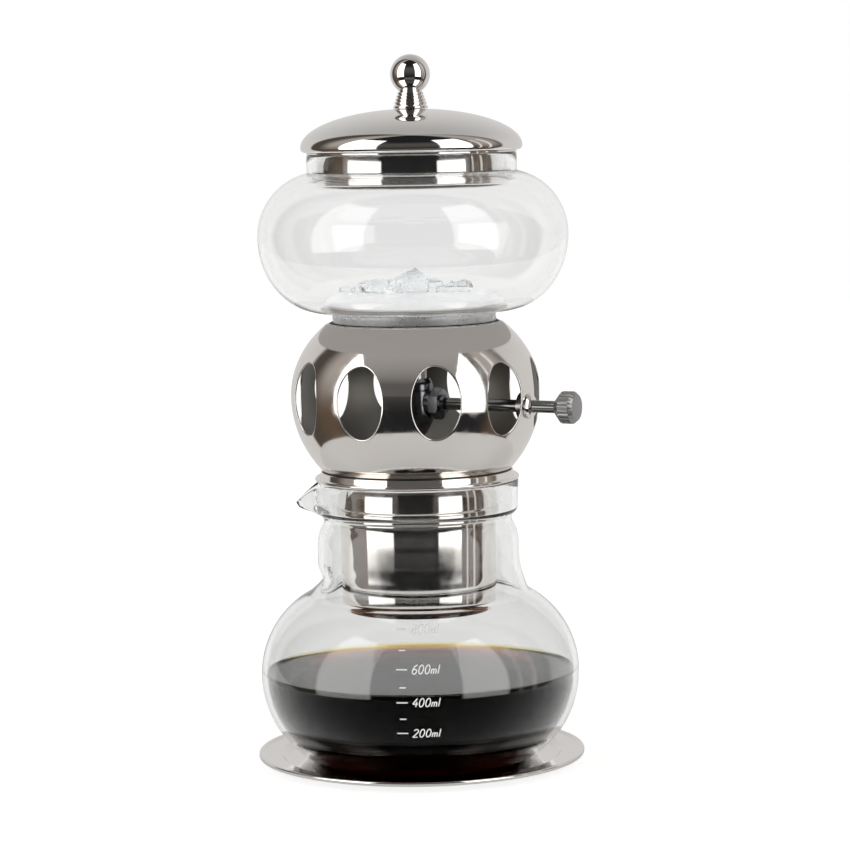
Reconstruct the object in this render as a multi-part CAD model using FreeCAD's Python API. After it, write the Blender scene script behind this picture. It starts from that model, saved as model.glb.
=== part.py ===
"""Cold drip coffee tower: a glass tank with a needle valve over a filter cup in a glass server.

Frame: origin on the tower's axis in the plane that it stands on, +Z up, -Y the side with the volume scale,
-X the side with the server's pouring lip. Lengths are in millimetres and angles in degrees.
Radii are measured from the tower's axis, unless a name says otherwise.
"""

import FreeCAD, Part
import math
import os

V = FreeCAD.Vector
UP = V(0, 0, 1)
ORIGIN = V(0, 0, 0)

# ---- fits shared by several pieces ----
RUNNING_FIT = 0.08        # radial clearance of the stem in its bores
THREAD_FIT = 0.05         # radial clearance of a plain-turned thread
SEAT_GAP = 0.3            # radial clearance of a piece that lifts out
SHEET = 0.8               # thickness of the spun and pressed steel
GLASS = 2.3               # wall of the blown glass

# ---- server ----
SERVER_BODY_R = 71.0
SERVER_BODY_Z = 39.5      # height of the widest place
SERVER_ROUND = 41.0       # radius of the shoulder's and the belly's outline
SERVER_BELLY_DEPTH = 43.0 # how far the belly's ellipse would reach below the widest place
SERVER_SHOULDER_TURN = 60.5
SERVER_FOOT_TURN = 59.0
SERVER_FOOT_R = 46.0
SERVER_RIM_Z = 126.0
SERVER_RIM_R = 45.1
SERVER_BAND_Z = 115.0     # where the mouth's band starts
SERVER_BAND_R = 44.6
SERVER_GROOVE_R = 41.8
SERVER_GROOVE_Z = 108.2
SERVER_NECK_R = 44.9
SERVER_NECK_Z = 94.0
GRIP_FLOOR = 39.8         # distance from the axis to the floor of a thumb dimple
GRIP_HALF = (30.0, 12.0, 17.0)
GRIP_Z = 93.0
NOTCH_FLOOR = 41.7        # the same for the finger notch under the lip
NOTCH_HALF = (7.0, 14.0, 7.0)
NOTCH_Z = 84.3
LIP_REACH = 53.6
LIP_TIP_Z = 117.2
LIP_WALL = 1.9
COFFEE_LEVEL = 40.0
COFFEE_GAP = 0.3

# ---- saucer ----
SAUCER_OVERHANG = 1.9     # how far the rim stands out past the server's widest place
SAUCER_WELL_INSET = 10.0  # how far the well's edge lies inside that place
SAUCER_R = SERVER_BODY_R + SAUCER_OVERHANG
SAUCER_WELL_R = SERVER_BODY_R - SAUCER_WELL_INSET
SAUCER_SHEET = 1.0
SAUCER_RISE = 2.6         # height of the rim's inner edge over the well
SAUCER_LIP_R = 0.9        # radius of the rolled edge

# ---- filter cup ----
CUP_R = 34.5
CUP_TOP_R = 35.4
CUP_BEAD_R = 36.2
CUP_FLOOR_Z = 67.5
CUP_CORNER = 4.0
CUP_BEAD_Z = (110.2, 115.0)
CUP_SEAT_Z = 128.4        # floor of the seat that takes the ball housing
CUP_COLLAR_R = 42.7
CUP_COLLAR_Z = 130.3
CUP_FLANGE_R = 45.5
CUP_HOLE_R = 0.9
CUP_HOLE_PITCH = 8.4
SCREEN_INSET = 5.0        # the cup's rounded corner and the room round the screen
SCREEN_R = CUP_R - SCREEN_INSET
SCREEN_SHEET = 0.4
SCREEN_RIM = 1.2
SPREADER_RIM = 2.6
SPREADER_HOLE_R = 1.0
SPREADER_HOLE_PITCH = 8.6

# ---- ball housing ----
BALL_R = 55.4
BALL_Z = 164.0
BALL_UP = 45.0            # vertical half axis above the widest place
BALL_DOWN = 51.0          # and below it
BALL_TOP_Z = 196.0
BALL_FLOOR_Z = 131.1
BALL_FLOOR_BORE_R = 37.5
SEAL_SHEET = 0.8
WINDOW_COUNT = 10
WINDOW_WIDTH = 21.5
WINDOW_HEIGHT = 31.7
WINDOW_Z = 164.6
WINDOW_TURN = 9.5         # azimuth of the first window from -Y towards +X

# ---- tank ----
TANK_R = 68.6
TANK_Z = 234.5
TANK_ROUND = 28.6         # radius of the bulge's outline above the widest place, and its half axis below
TANK_DOWN = 33.5          # vertical half axis below the widest place
TANK_WALL = 2.2
TANK_MOUTH_R = 46.3
TANK_RIM_Z = 270.6
TANK_FOOT_R = 36.2
TANK_FOOT_Z = 193.9
TANK_FOOT_WALL = 2.8
TANK_FLOOR_Z = 199.0      # underside of the glass floor
TANK_FLOOR = 2.6
FOOT_SEAT_BORE_R = 31.0
WATER_LEVEL = 209.5
WATER_GAP = 0.3

# ---- lid ----
LID_R = 48.9
LID_EDGE_Z = 273.4
LID_TOP_Z = 290.0
SKIRT_R = 42.3
SKIRT_FLOOR_Z = 257.0
SKIRT_FLANGE_R = 46.4
FINIAL_BALL_R = 8.74
FINIAL_BALL_Z = 305.0
FINIAL_FOOT_R = 7.6
FINIAL_RIBS = 4
FINIAL_SCREW_R = 1.5
FINIAL_SCREW_HEAD_R = 2.9
FINIAL_WASHER_R = 5.0
FINIAL_WASHER = 1.0
WASHER_SEAT = 0.15        # how far the crown falls under the washer's edge

# ---- valve: s is the distance from the tower's axis along the stem ----
STEM_TURN = 63.5          # azimuth of the stem from -Y towards +X
STEM_Z = 160.0
STEM_R = 2.7
VALVE_R = 8.2
VALVE_TOP_Z = 171.0
VALVE_BOTTOM_Z = 146.0
BOSS_R = 5.5
BOSS_END = 11.5
CHAMBER_ROOM = 0.4        # room for the water round the stem
CHAMBER_R = STEM_R + CHAMBER_ROOM
CHAMBER_START = 2.5
PACKING_R = 4.6
PACKING_START = 9.0
SEAT_R = 0.9              # radius of the orifice that the needle closes
NEEDLE_R = 2.0
NEEDLE_SLOPE = 0.5
NEEDLE_OPEN = 0.35        # how far the needle stands off its seat at rest
NEEDLE_END = 7.0
NEEDLE_TAIL_R = 1.2
NEEDLE_TAIL = 3.0
NUT_FLATS = 12.3
NUT_START = 8.9
NUT_END = 13.4
NUT_COLLAR_R = 4.0
NUT_COLLAR = 1.8
DRAIN_R = 5.0
DRAIN_BORE_R = 2.2
DRAIN_FLANGE_R = 8.5
DRAIN_FLANGE = 2.0
DRAIN_SOCKET = 5.0
WASHER = 1.1
LOCKNUT_FLATS = 16.0
LOCKNUT = 4.8
NOZZLE_R = 3.2
NOZZLE_TIP_R = 1.7
NOZZLE_BORE_R = 1.0
NOZZLE_TIP_Z = 139.5
NOZZLE_SOCKET = 3.0
BUSH_R = 4.0
BUSH_FLANGE_R = 5.65
BUSH_NUT_R = 6.0
BUSH_NUT = 2.4
KNOB_R = 7.1
KNOB_START = 68.5
KNOB_CONE = 2.4
KNOB_CHAMFER = 1.6
KNOB_END = 78.0
KNOB_FLUTES = 20
KNOB_FLUTE_R = 0.55
KNOB_BORE_DEPTH = 7.0
GRUB_R = 1.5


# ---- drawing helpers ----
def at(r, z):
    """A point of an outline that is turned about the tower's axis."""
    return V(r, 0, z)


def line(p, q):
    return Part.makeLine(at(*p), at(*q))


def arc(p, through, q):
    return Part.Arc(at(*p), at(*through), at(*q)).toShape()


def on_ellipse(centre, a, b, turn):
    """The point of an ellipse with half axes a and b, at turn degrees above the horizontal."""
    t = math.radians(turn)
    return (centre[0] + a * math.cos(t), centre[1] + b * math.sin(t))


def ellipse(centre, a, b, start, end):
    """The stretch of that ellipse from start to end."""
    middle = at(*centre)
    if a == b:
        through = on_ellipse(centre, a, b, (start + end) / 2)
        return arc(on_ellipse(centre, a, b, start), through, on_ellipse(centre, a, b, end))
    wide = middle + at(a, 0)
    high = middle + at(0, b)
    if a > b:
        curve = Part.Ellipse(wide, high, middle)
        turns = sorted((start, end))
    else:
        curve = Part.Ellipse(high, wide, middle)
        turns = sorted((90 - start, 90 - end))
    return Part.ArcOfEllipse(curve, *[math.radians(t) for t in turns]).toShape()


def spline(points, start=None, end=None):
    """A smooth curve through points, leaving along start and arriving along end."""
    curve = Part.BSplineCurve()
    if start:
        curve.interpolate(Points=[at(*p) for p in points], InitialTangent=at(*start), FinalTangent=at(*end))
    else:
        curve.interpolate(Points=[at(*p) for p in points])
    return curve.toShape()


def rising(start, end):
    """The middle of the arc that leaves start level and rises to end."""
    out = end[0] - start[0]
    up = end[1] - start[1]
    radius = (out**2 + up**2) / (2 * up)
    half = math.asin(out / radius) / 2
    return (start[0] + radius * math.sin(half), start[1] + radius * (1 - math.cos(half)))


def turned(*edges):
    """The solid that a closed outline sweeps round the tower's axis."""
    face = Part.Face(Part.Wire(list(edges)))
    return face.revolve(ORIGIN, UP, 360)


def lathe(*points):
    """The same for an outline of straight lines."""
    return turned(*[line(p, q) for p, q in zip(points, points[1:] + points[:1]) if p != q])


def ring(inner, outer, low, high):
    return lathe((inner, low), (outer, low), (outer, high), (inner, high))


def disc(radius, low, high):
    return Part.makeCylinder(radius, high - low, V(0, 0, low))


def joined(first, *rest):
    return first.multiFuse(list(rest)).removeSplitter()


def ellipsoid(centre, half):
    ball = Part.makeSphere(1.0)
    matrix = FreeCAD.Matrix()
    matrix.scale(V(*half))
    shaped = ball.transformGeometry(matrix)
    shaped.translate(V(*centre))
    return shaped


def to_stem(shape):
    """Takes a shape drawn with the stem along +X at height 0 to the stem's own place."""
    shape.rotate(ORIGIN, UP, STEM_TURN - 90)
    shape.translate(V(0, 0, STEM_Z))
    return shape


def stem_ring(inner, outer, start, end):
    """A ring about the stem's axis."""
    solid = Part.makeCylinder(outer, end - start, V(start, 0, 0), V(1, 0, 0))
    if inner:
        solid = solid.cut(Part.makeCylinder(inner, end - start, V(start, 0, 0), V(1, 0, 0)))
    return solid


def stem_lathe(*points):
    """A solid turned about the stem's axis, from points (distance along the stem, radius)."""
    corners = [V(s, 0, r) for s, r in points]
    face = Part.Face(Part.makePolygon(corners + corners[:1]))
    return face.revolve(ORIGIN, V(1, 0, 0), 360)


def hexagon(flats, height, base, axis):
    """A hexagonal prism with that width across its flats."""
    corner = flats / math.sqrt(3)
    points = []
    for i in range(7):
        t = math.radians(60 * i)
        points.append(V(corner * math.cos(t), corner * math.sin(t), 0))
    prism = Part.Face(Part.makePolygon(points)).extrude(V(0, 0, height))
    prism.Placement = FreeCAD.Placement(base, FreeCAD.Rotation(UP, axis))
    return prism


def holes(radius, pitch, rings, low, high):
    """Round holes on rings about the axis, six more on each ring than on the last."""
    drills = [disc(radius, low, high)]
    for k in range(1, rings + 1):
        for i in range(6 * k):
            t = math.radians(60.0 / k * i)
            drill = disc(radius, low, high)
            drill.translate(V(k * pitch * math.cos(t), k * pitch * math.sin(t), 0))
            drills.append(drill)
    return Part.makeCompound(drills)


# ---- saucer ----
def saucer():
    t = SAUCER_SHEET
    rim_in = SAUCER_WELL_R + SAUCER_RISE
    edge = SAUCER_R - SAUCER_LIP_R
    top = t + SAUCER_RISE
    slope = (SAUCER_WELL_R, 0)
    return turned(
        line((0, 0), slope),
        line(slope, (rim_in, top - t)),
        line((rim_in, top - t), (edge, top - t)),
        arc((edge, top - t), (SAUCER_R, top), (edge, top + SAUCER_LIP_R)),
        line((edge, top + SAUCER_LIP_R), (rim_in - t / 2, top)),
        line((rim_in - t / 2, top), (SAUCER_WELL_R - t / 2, t)),
        line((SAUCER_WELL_R - t / 2, t), (0, t)),
        line((0, t), (0, 0)),
    )


# ---- server ----
def server_neck():
    """Points of the neck's outside, from the shoulder to the mouth's band."""
    centre = (SERVER_BODY_R - SERVER_ROUND, SERVER_BODY_Z)
    shoulder = on_ellipse(centre, SERVER_ROUND, SERVER_ROUND, SERVER_SHOULDER_TURN)
    return [
        shoulder,
        (SERVER_NECK_R + 2.3, SERVER_NECK_Z - 13.4),
        (SERVER_NECK_R + 0.6, SERVER_NECK_Z - 7.5),
        (SERVER_NECK_R, SERVER_NECK_Z),
        (SERVER_NECK_R - 0.4, SERVER_NECK_Z + 7),
        (SERVER_GROOVE_R + 1.2, SERVER_GROOVE_Z - 2.9),
        (SERVER_GROOVE_R, SERVER_GROOVE_Z),
        (SERVER_GROOVE_R + 0.7, SERVER_GROOVE_Z + 2.2),
        (SERVER_BAND_R - 0.4, SERVER_BAND_Z - 2.8),
        (SERVER_BAND_R, SERVER_BAND_Z),
    ]


def inset(points, start, end, depth):
    """The points moved inwards by depth, square to the curve."""
    moved = []
    for i, (r, z) in enumerate(points):
        if i == 0:
            dr, dz = start
        elif i == len(points) - 1:
            dr, dz = end
        else:
            dr = points[i + 1][0] - points[i - 1][0]
            dz = points[i + 1][1] - points[i - 1][1]
        length = math.hypot(dr, dz)
        moved.append((r - depth * dz / length, z + depth * dr / length))
    return moved


def server_turned(depth):
    """The solid inside the server's outside, drawn in by depth all round. It has no lip and no dimples."""
    centre = (SERVER_BODY_R - SERVER_ROUND, SERVER_BODY_Z)
    a = SERVER_ROUND - depth
    belly = SERVER_BELLY_DEPTH - depth
    foot_z = SAUCER_SHEET + depth
    foot = on_ellipse(centre, a, belly, -SERVER_FOOT_TURN)
    foot_in = (SERVER_FOOT_R - depth / 4, foot_z)
    foot_mid = rising(foot_in, foot)
    t = math.radians(SERVER_SHOULDER_TURN)
    leave = (-math.sin(t), math.cos(t))
    arrive = (0.045, 1.0)
    neck = inset(server_neck(), leave, arrive, depth)
    rim = (SERVER_RIM_R - depth, SERVER_RIM_Z)
    return turned(
        line((0, foot_z), foot_in),
        arc(foot_in, foot_mid, foot),
        ellipse(centre, a, belly, -SERVER_FOOT_TURN, 0),
        ellipse(centre, a, a, 0, SERVER_SHOULDER_TURN),
        spline(neck, leave, arrive),
        line(neck[-1], rim),
        line(rim, (0, SERVER_RIM_Z)),
        line((0, SERVER_RIM_Z), (0, foot_z)),
    )


def dimples(extra):
    """The two thumb dimples and the finger notch, each larger by extra all round."""
    tools = []
    half = tuple(h + extra for h in GRIP_HALF)
    reach = GRIP_FLOOR + GRIP_HALF[1]
    for side in (-1, 1):
        tools.append(ellipsoid((0, side * reach, GRIP_Z), half))
    notch = tuple(h + extra for h in NOTCH_HALF)
    tools.append(ellipsoid((-NOTCH_FLOOR - NOTCH_HALF[0], 0, NOTCH_Z), notch))
    return tools


def lip_section(reach, width, top, bottom):
    """A half ellipse that hangs from a straight top, square to X."""
    left = V(-reach, -width, top)
    right = V(-reach, width, top)
    down = []
    for i in range(9):
        t = math.radians(180 + 22.5 * i)
        down.append(V(-reach, width * math.cos(t), top + (top - bottom) * math.sin(t)))
    curve = Part.BSplineCurve()
    curve.interpolate(Points=down)
    return Part.Wire([curve.toShape(), Part.makeLine(right, left)])


def lip(wall):
    """The pouring lip's outside for a wall of 0, or the channel in it, open at the top."""
    inner = SERVER_RIM_R - 7
    stations = [
        (inner, 14.0, SERVER_RIM_Z, 109.0),
        (SERVER_RIM_R - 1, 12.5, SERVER_RIM_Z, 111.5),
        (SERVER_RIM_R + 3, 8.0, SERVER_RIM_Z - 3.2, 113.8),
        (LIP_REACH - 2.0, 4.4, LIP_TIP_Z + 1.9, 114.9),
        (LIP_REACH, 2.2, LIP_TIP_Z, 115.4),
    ]
    sections = []
    for reach, width, top, bottom in stations:
        if not wall:
            sections.append(lip_section(reach, width, top, bottom))
        else:
            further = reach + (0.4 if reach == LIP_REACH else 0)
            narrow = max(width - wall, 1.2)
            floor = min(bottom + wall, top - 0.5)
            sections.append(lip_section(further, narrow, top + 0.6, floor))
    return Part.makeLoft(sections, True, False)


def server():
    above_rim = disc(SERVER_BODY_R, SERVER_RIM_Z, SERVER_RIM_Z + 10)
    outside = server_turned(0).fuse(lip(0).cut(above_rim))
    for tool in dimples(0):
        outside = outside.cut(tool)
    cavity = server_turned(GLASS)
    for tool in dimples(GLASS):
        cavity = cavity.cut(tool)
    glass = outside.cut(cavity)
    glass = glass.cut(lip(LIP_WALL))
    return biggest(glass)


def biggest(shape):
    """The largest solid of a shape, as one solid."""
    return max(shape.Solids, key=lambda s: s.Volume)


def brewed_coffee():
    inside = server_turned(GLASS + COFFEE_GAP)
    return biggest(inside.common(disc(SERVER_BODY_R, 0, COFFEE_LEVEL)))


# ---- filter cup ----
def filter_cup():
    """Drawn cup with a bead under its top, welded into a turned flange that seats the ball housing."""
    t = SHEET
    top = CUP_SEAT_Z
    low, high = CUP_BEAD_Z
    corner = CUP_CORNER
    floor = CUP_FLOOR_Z
    flange_z = SERVER_RIM_Z
    side = CUP_R - corner
    diagonal = math.sqrt(0.5)
    collar_in = CUP_COLLAR_R - t
    edge = CUP_FLANGE_R - 1.0
    body = turned(
        line((0, floor), (side, floor)),
        arc((side, floor), (side + corner * diagonal, floor + corner * (1 - diagonal)), (CUP_R, floor + corner)),
        line((CUP_R, floor + corner), (CUP_R, low)),
        line((CUP_R, low), (CUP_BEAD_R, low + 1.0)),
        line((CUP_BEAD_R, low + 1.0), (CUP_BEAD_R, high - 1.0)),
        line((CUP_BEAD_R, high - 1.0), (CUP_TOP_R, high)),
        line((CUP_TOP_R, high), (CUP_TOP_R, flange_z)),
        line((CUP_TOP_R, flange_z), (edge, flange_z)),
        arc((edge, flange_z), (CUP_FLANGE_R, flange_z + 1.0), (edge, flange_z + 2.0)),
        line((edge, flange_z + 2.0), (CUP_COLLAR_R + 0.4, flange_z + t)),
        line((CUP_COLLAR_R + 0.4, flange_z + t), (CUP_COLLAR_R, CUP_COLLAR_Z)),
        line((CUP_COLLAR_R, CUP_COLLAR_Z), (collar_in, CUP_COLLAR_Z)),
        line((collar_in, CUP_COLLAR_Z), (collar_in, top)),
        line((collar_in, top), (CUP_TOP_R - t, top)),
        line((CUP_TOP_R - t, top), (CUP_TOP_R - t, high + 0.3)),
        line((CUP_TOP_R - t, high + 0.3), (CUP_BEAD_R - t, high - 0.7)),
        line((CUP_BEAD_R - t, high - 0.7), (CUP_BEAD_R - t, low + 1.3)),
        line((CUP_BEAD_R - t, low + 1.3), (CUP_R - t, low + 0.6)),
        line((CUP_R - t, low + 0.6), (CUP_R - t, floor + corner)),
        arc((CUP_R - t, floor + corner), (side + (corner - t) * diagonal, floor + corner - (corner - t) * diagonal),
            (side, floor + t)),
        line((side, floor + t), (0, floor + t)),
        line((0, floor + t), (0, floor)),
    )
    return body.cut(holes(CUP_HOLE_R, CUP_HOLE_PITCH, 3, floor - 1, floor + 2))


def filter_screen():
    base = CUP_FLOOR_Z + SHEET
    disc_part = disc(SCREEN_R, base, base + SCREEN_SHEET)
    rim = ring(SCREEN_R - SCREEN_RIM, SCREEN_R, base, base + SCREEN_RIM)
    return joined(disc_part, rim)


def spreader_plate():
    """A perforated dish that stands on the step in the cup's wall."""
    base = CUP_BEAD_Z[0] + 1.35
    radius = CUP_TOP_R - SHEET - SEAT_GAP
    plate = disc(radius, base, base + SHEET)
    rim = ring(radius - SHEET, radius, base, base + SPREADER_RIM)
    return joined(plate, rim).cut(holes(SPREADER_HOLE_R, SPREADER_HOLE_PITCH, 3, base - 1, base + 2))


# ---- ball housing ----
def seat_wall_r():
    """Outside radius of the ball's drawn-in seat for the tank's foot."""
    return TANK_FOOT_R + SEAL_SHEET


def base_seal():
    """Black ring between the cup's seat and the ball. It shows as a thin line over the cup's collar."""
    return ring(BALL_FLOOR_BORE_R + 0.5, CUP_COLLAR_R - SHEET - 0.05, CUP_SEAT_Z, BALL_FLOOR_Z)


def ball_shell():
    t = SHEET
    centre = (0, BALL_Z)
    up = math.degrees(math.asin((BALL_TOP_Z - BALL_Z) / BALL_UP))
    down = -math.degrees(math.asin((BALL_Z - BALL_FLOOR_Z) / BALL_DOWN))
    top = on_ellipse(centre, BALL_R, BALL_UP, up)
    low = on_ellipse(centre, BALL_R, BALL_DOWN, down)
    up_in = math.degrees(math.asin((BALL_TOP_Z - t - BALL_Z) / (BALL_UP - t)))
    down_in = -math.degrees(math.asin((BALL_Z - BALL_FLOOR_Z - t) / (BALL_DOWN - t)))
    top_in = on_ellipse(centre, BALL_R - t, BALL_UP - t, up_in)
    low_in = on_ellipse(centre, BALL_R - t, BALL_DOWN - t, down_in)
    wall = seat_wall_r()
    seat = TANK_FOOT_Z - SEAL_SHEET
    crest = BALL_TOP_Z + 0.4
    return turned(
        ellipse(centre, BALL_R, BALL_DOWN, down, 0),
        ellipse(centre, BALL_R, BALL_UP, 0, up),
        line(top, (wall + 0.5, crest)),
        line((wall + 0.5, crest), (wall, crest)),
        line((wall, crest), (wall, seat)),
        line((wall, seat), (FOOT_SEAT_BORE_R, seat)),
        line((FOOT_SEAT_BORE_R, seat), (FOOT_SEAT_BORE_R, seat - t)),
        line((FOOT_SEAT_BORE_R, seat - t), (wall + t, seat - t)),
        line((wall + t, seat - t), top_in),
        ellipse(centre, BALL_R - t, BALL_UP - t, up_in, 0),
        ellipse(centre, BALL_R - t, BALL_DOWN - t, 0, down_in),
        line(low_in, (BALL_FLOOR_BORE_R, BALL_FLOOR_Z + t)),
        line((BALL_FLOOR_BORE_R, BALL_FLOOR_Z + t), (BALL_FLOOR_BORE_R, BALL_FLOOR_Z)),
        line((BALL_FLOOR_BORE_R, BALL_FLOOR_Z), low),
    )


def window_tool(turn):
    """An oval prism that cuts one window at that azimuth."""
    curve = Part.Ellipse(V(0, 0, 0), WINDOW_HEIGHT / 2, WINDOW_WIDTH / 2)
    face = Part.Face(Part.Wire([curve.toShape()]))
    tool = face.extrude(V(0, 0, BALL_R))
    tool.rotate(ORIGIN, V(0, 1, 0), -90)
    tool.rotate(ORIGIN, UP, turn + 90)
    tool.translate(V(0, 0, WINDOW_Z))
    return tool


def ball_housing():
    shell = ball_shell()
    for i in range(WINDOW_COUNT):
        shell = shell.cut(window_tool(WINDOW_TURN + 360 / WINDOW_COUNT * i))
    hole = stem_ring(0, BUSH_R + THREAD_FIT, BALL_R - 10, BALL_R + 5)
    return shell.cut(to_stem(hole))


def ball_solid(depth):
    """The ball filled in, drawn in by depth."""
    centre = (0, BALL_Z)
    a = BALL_R - depth
    up = BALL_UP - depth
    down = BALL_DOWN - depth
    low = (0, BALL_Z - down)
    top = (0, BALL_Z + up)
    return turned(ellipse(centre, a, down, -90, 0), ellipse(centre, a, up, 0, 90), line(top, low))


def stem_bush():
    """Domed flange, formed to the ball's outside, and the sleeve that guides the stem through its wall."""
    bore = STEM_R + RUNNING_FIT
    start = BALL_R - SHEET - BUSH_NUT - 1.4
    face = BALL_R
    flange = stem_lathe(
        (BALL_R - 3.0, 0),
        (BALL_R - 3.0, BUSH_FLANGE_R),
        (face + 0.7, BUSH_FLANGE_R),
        (face + 1.5, BUSH_FLANGE_R - 1.0),
        (face + 2.0, BUSH_FLANGE_R - 2.2),
        (face + 2.0, 0),
    )
    flange = to_stem(flange).cut(ball_solid(-0.02))
    sleeve = to_stem(stem_ring(0, BUSH_R, start, face + 1.0))
    return flange.fuse(sleeve).cut(to_stem(stem_ring(0, bore, start - 1, face + 3.0)))


def bush_nut():
    """Back nut of the stem bush, formed to the ball's inside."""
    end = BALL_R - SHEET
    nut = to_stem(stem_ring(BUSH_R + THREAD_FIT, BUSH_NUT_R, end - BUSH_NUT - 0.8, end))
    return nut.common(ball_solid(SHEET + 0.02))


# ---- tank ----
def tank_floor_bend(lift):
    """The inside's curve from the belly down to the flat floor, raised by lift."""
    middle = TANK_R - TANK_ROUND
    foot_in = TANK_FOOT_R - TANK_FOOT_WALL
    top = TANK_FLOOR_Z + TANK_FLOOR + lift
    belly = TANK_Z - TANK_DOWN + TANK_WALL + lift
    return spline([(middle, belly), (foot_in + 1.5, (top + belly) / 2), (foot_in - 3.5, top)], (-1, 0), (-1, 0))


def tank():
    w = TANK_WALL
    centre = (TANK_R - TANK_ROUND, TANK_Z)
    a, down = TANK_ROUND, TANK_DOWN
    shoulder = math.degrees(math.acos((TANK_MOUTH_R - centre[0]) / a))
    inner_r = TANK_MOUTH_R - GLASS
    shoulder_in = math.degrees(math.acos((inner_r - centre[0]) / (a - w)))
    neck = on_ellipse(centre, a, a, shoulder)
    neck_in = on_ellipse(centre, a - w, a - w, shoulder_in)
    belly = (centre[0], TANK_Z - down)
    belly_in = (centre[0], TANK_Z - down + w)
    floor = TANK_FLOOR_Z
    top = floor + TANK_FLOOR
    foot_in = TANK_FOOT_R - TANK_FOOT_WALL
    hole = DRAIN_R + 0.2
    return turned(
        line((hole, floor), (foot_in, floor)),
        line((foot_in, floor), (foot_in, TANK_FOOT_Z)),
        line((foot_in, TANK_FOOT_Z), (TANK_FOOT_R, TANK_FOOT_Z)),
        line((TANK_FOOT_R, TANK_FOOT_Z), (TANK_FOOT_R, belly[1] - 1.4)),
        arc((TANK_FOOT_R, belly[1] - 1.4), (TANK_FOOT_R + 0.5, belly[1] - 0.4), (TANK_FOOT_R + 1.5, belly[1])),
        line((TANK_FOOT_R + 1.5, belly[1]), belly),
        ellipse(centre, a, down, -90, 0),
        ellipse(centre, a, a, 0, shoulder),
        line(neck, (TANK_MOUTH_R, TANK_RIM_Z - 0.8)),
        arc((TANK_MOUTH_R, TANK_RIM_Z - 0.8), (TANK_MOUTH_R - 0.25, TANK_RIM_Z - 0.2), (TANK_MOUTH_R - 0.8, TANK_RIM_Z)),
        line((TANK_MOUTH_R - 0.8, TANK_RIM_Z), (inner_r, TANK_RIM_Z)),
        line((inner_r, TANK_RIM_Z), neck_in),
        ellipse(centre, a - w, a - w, shoulder_in, 0),
        ellipse(centre, a - w, down - w, 0, -90),
        tank_floor_bend(0),
        line((foot_in - 3.5, top), (hole, top)),
        line((hole, top), (hole, floor)),
    )


def tank_foot_seal():
    """Dark ring between the tank's foot and the ball's seat, with a lip up round the foot."""
    wall = seat_wall_r()
    seat = TANK_FOOT_Z - SEAL_SHEET
    lip_z = BALL_TOP_Z + 0.6
    return lathe(
        (FOOT_SEAT_BORE_R + 0.4, seat),
        (wall - 0.05, seat),
        (wall - 0.05, lip_z),
        (TANK_FOOT_R + 0.1, lip_z),
        (TANK_FOOT_R + 0.1, TANK_FOOT_Z),
        (FOOT_SEAT_BORE_R + 0.4, TANK_FOOT_Z),
    )


def tank_water():
    """Melt water on the tank's floor, round the drain's flange."""
    wall = TANK_WALL + WATER_GAP
    centre = (TANK_R - TANK_ROUND, TANK_Z)
    a = TANK_ROUND - wall
    down = TANK_DOWN - wall
    top = TANK_FLOOR_Z + TANK_FLOOR + WATER_GAP
    bend_in = TANK_FOOT_R - TANK_FOOT_WALL - 3.5
    level = -math.degrees(math.asin((TANK_Z - WATER_LEVEL) / down))
    clear_r = DRAIN_FLANGE_R + 0.4
    clear_z = TANK_FLOOR_Z + TANK_FLOOR + WASHER + DRAIN_FLANGE + 0.6
    return turned(
        line((clear_r, top), (bend_in, top)),
        tank_floor_bend(WATER_GAP),
        ellipse(centre, a, down, -90, level),
        line(on_ellipse(centre, a, down, level), (0, WATER_LEVEL)),
        line((0, WATER_LEVEL), (0, clear_z)),
        line((0, clear_z), (clear_r, clear_z)),
        line((clear_r, clear_z), (clear_r, top)),
    )


def ice_cubes():
    """Loose ice on the water: one row of broken cubes each side of the middle."""
    lumps = []
    sizes = [
        (-31.0, -4.0, 13.0, 11.0, 6.5, 24.0),
        (-18.5, -14.0, 12.0, 10.5, 8.0, -18.0),
        (-4.5, -6.0, 15.5, 13.0, 11.2, 33.0),
        (9.5, -16.0, 10.0, 12.0, 6.0, 12.0),
        (19.0, -3.0, 13.0, 11.0, 7.4, -35.0),
        (-13.0, 13.0, 16.0, 12.0, 8.6, -25.0),
        (6.0, 15.0, 12.0, 14.0, 7.8, 15.0),
        (26.0, 16.0, 11.0, 11.0, 5.6, 40.0),
    ]
    for x, y, length, width, height, turn in sizes:
        lump = Part.makeBox(length, width, height, V(-length / 2, -width / 2, 0))
        lump = lump.makeChamfer(1.2, lump.Edges)
        lump.rotate(ORIGIN, UP, turn)
        lump.translate(V(x, y, WATER_LEVEL))
        lumps.append(lump)
    return Part.makeCompound(lumps)


# ---- drain through the tank's floor ----
def drain_tube():
    top = TANK_FLOOR_Z + TANK_FLOOR + WASHER
    end = VALVE_TOP_Z - DRAIN_SOCKET + 0.2
    tube = lathe(
        (DRAIN_BORE_R, end),
        (DRAIN_R, end),
        (DRAIN_R, top),
        (DRAIN_FLANGE_R, top),
        (DRAIN_FLANGE_R, top + DRAIN_FLANGE - 0.6),
        (DRAIN_FLANGE_R - 0.8, top + DRAIN_FLANGE),
        (DRAIN_BORE_R, top + DRAIN_FLANGE),
    )
    return tube


def drain_washer_upper():
    base = TANK_FLOOR_Z + TANK_FLOOR
    return ring(DRAIN_R + THREAD_FIT, DRAIN_FLANGE_R - 0.3, base, base + WASHER)


def drain_washer_lower():
    return ring(DRAIN_R + THREAD_FIT, DRAIN_FLANGE_R - 0.3, TANK_FLOOR_Z - WASHER, TANK_FLOOR_Z)


def drain_locknut():
    top = TANK_FLOOR_Z - WASHER
    nut = hexagon(LOCKNUT_FLATS, LOCKNUT, V(0, 0, top - LOCKNUT), UP)
    return nut.cut(disc(DRAIN_R + THREAD_FIT, top - LOCKNUT - 1, top + 1))


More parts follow.
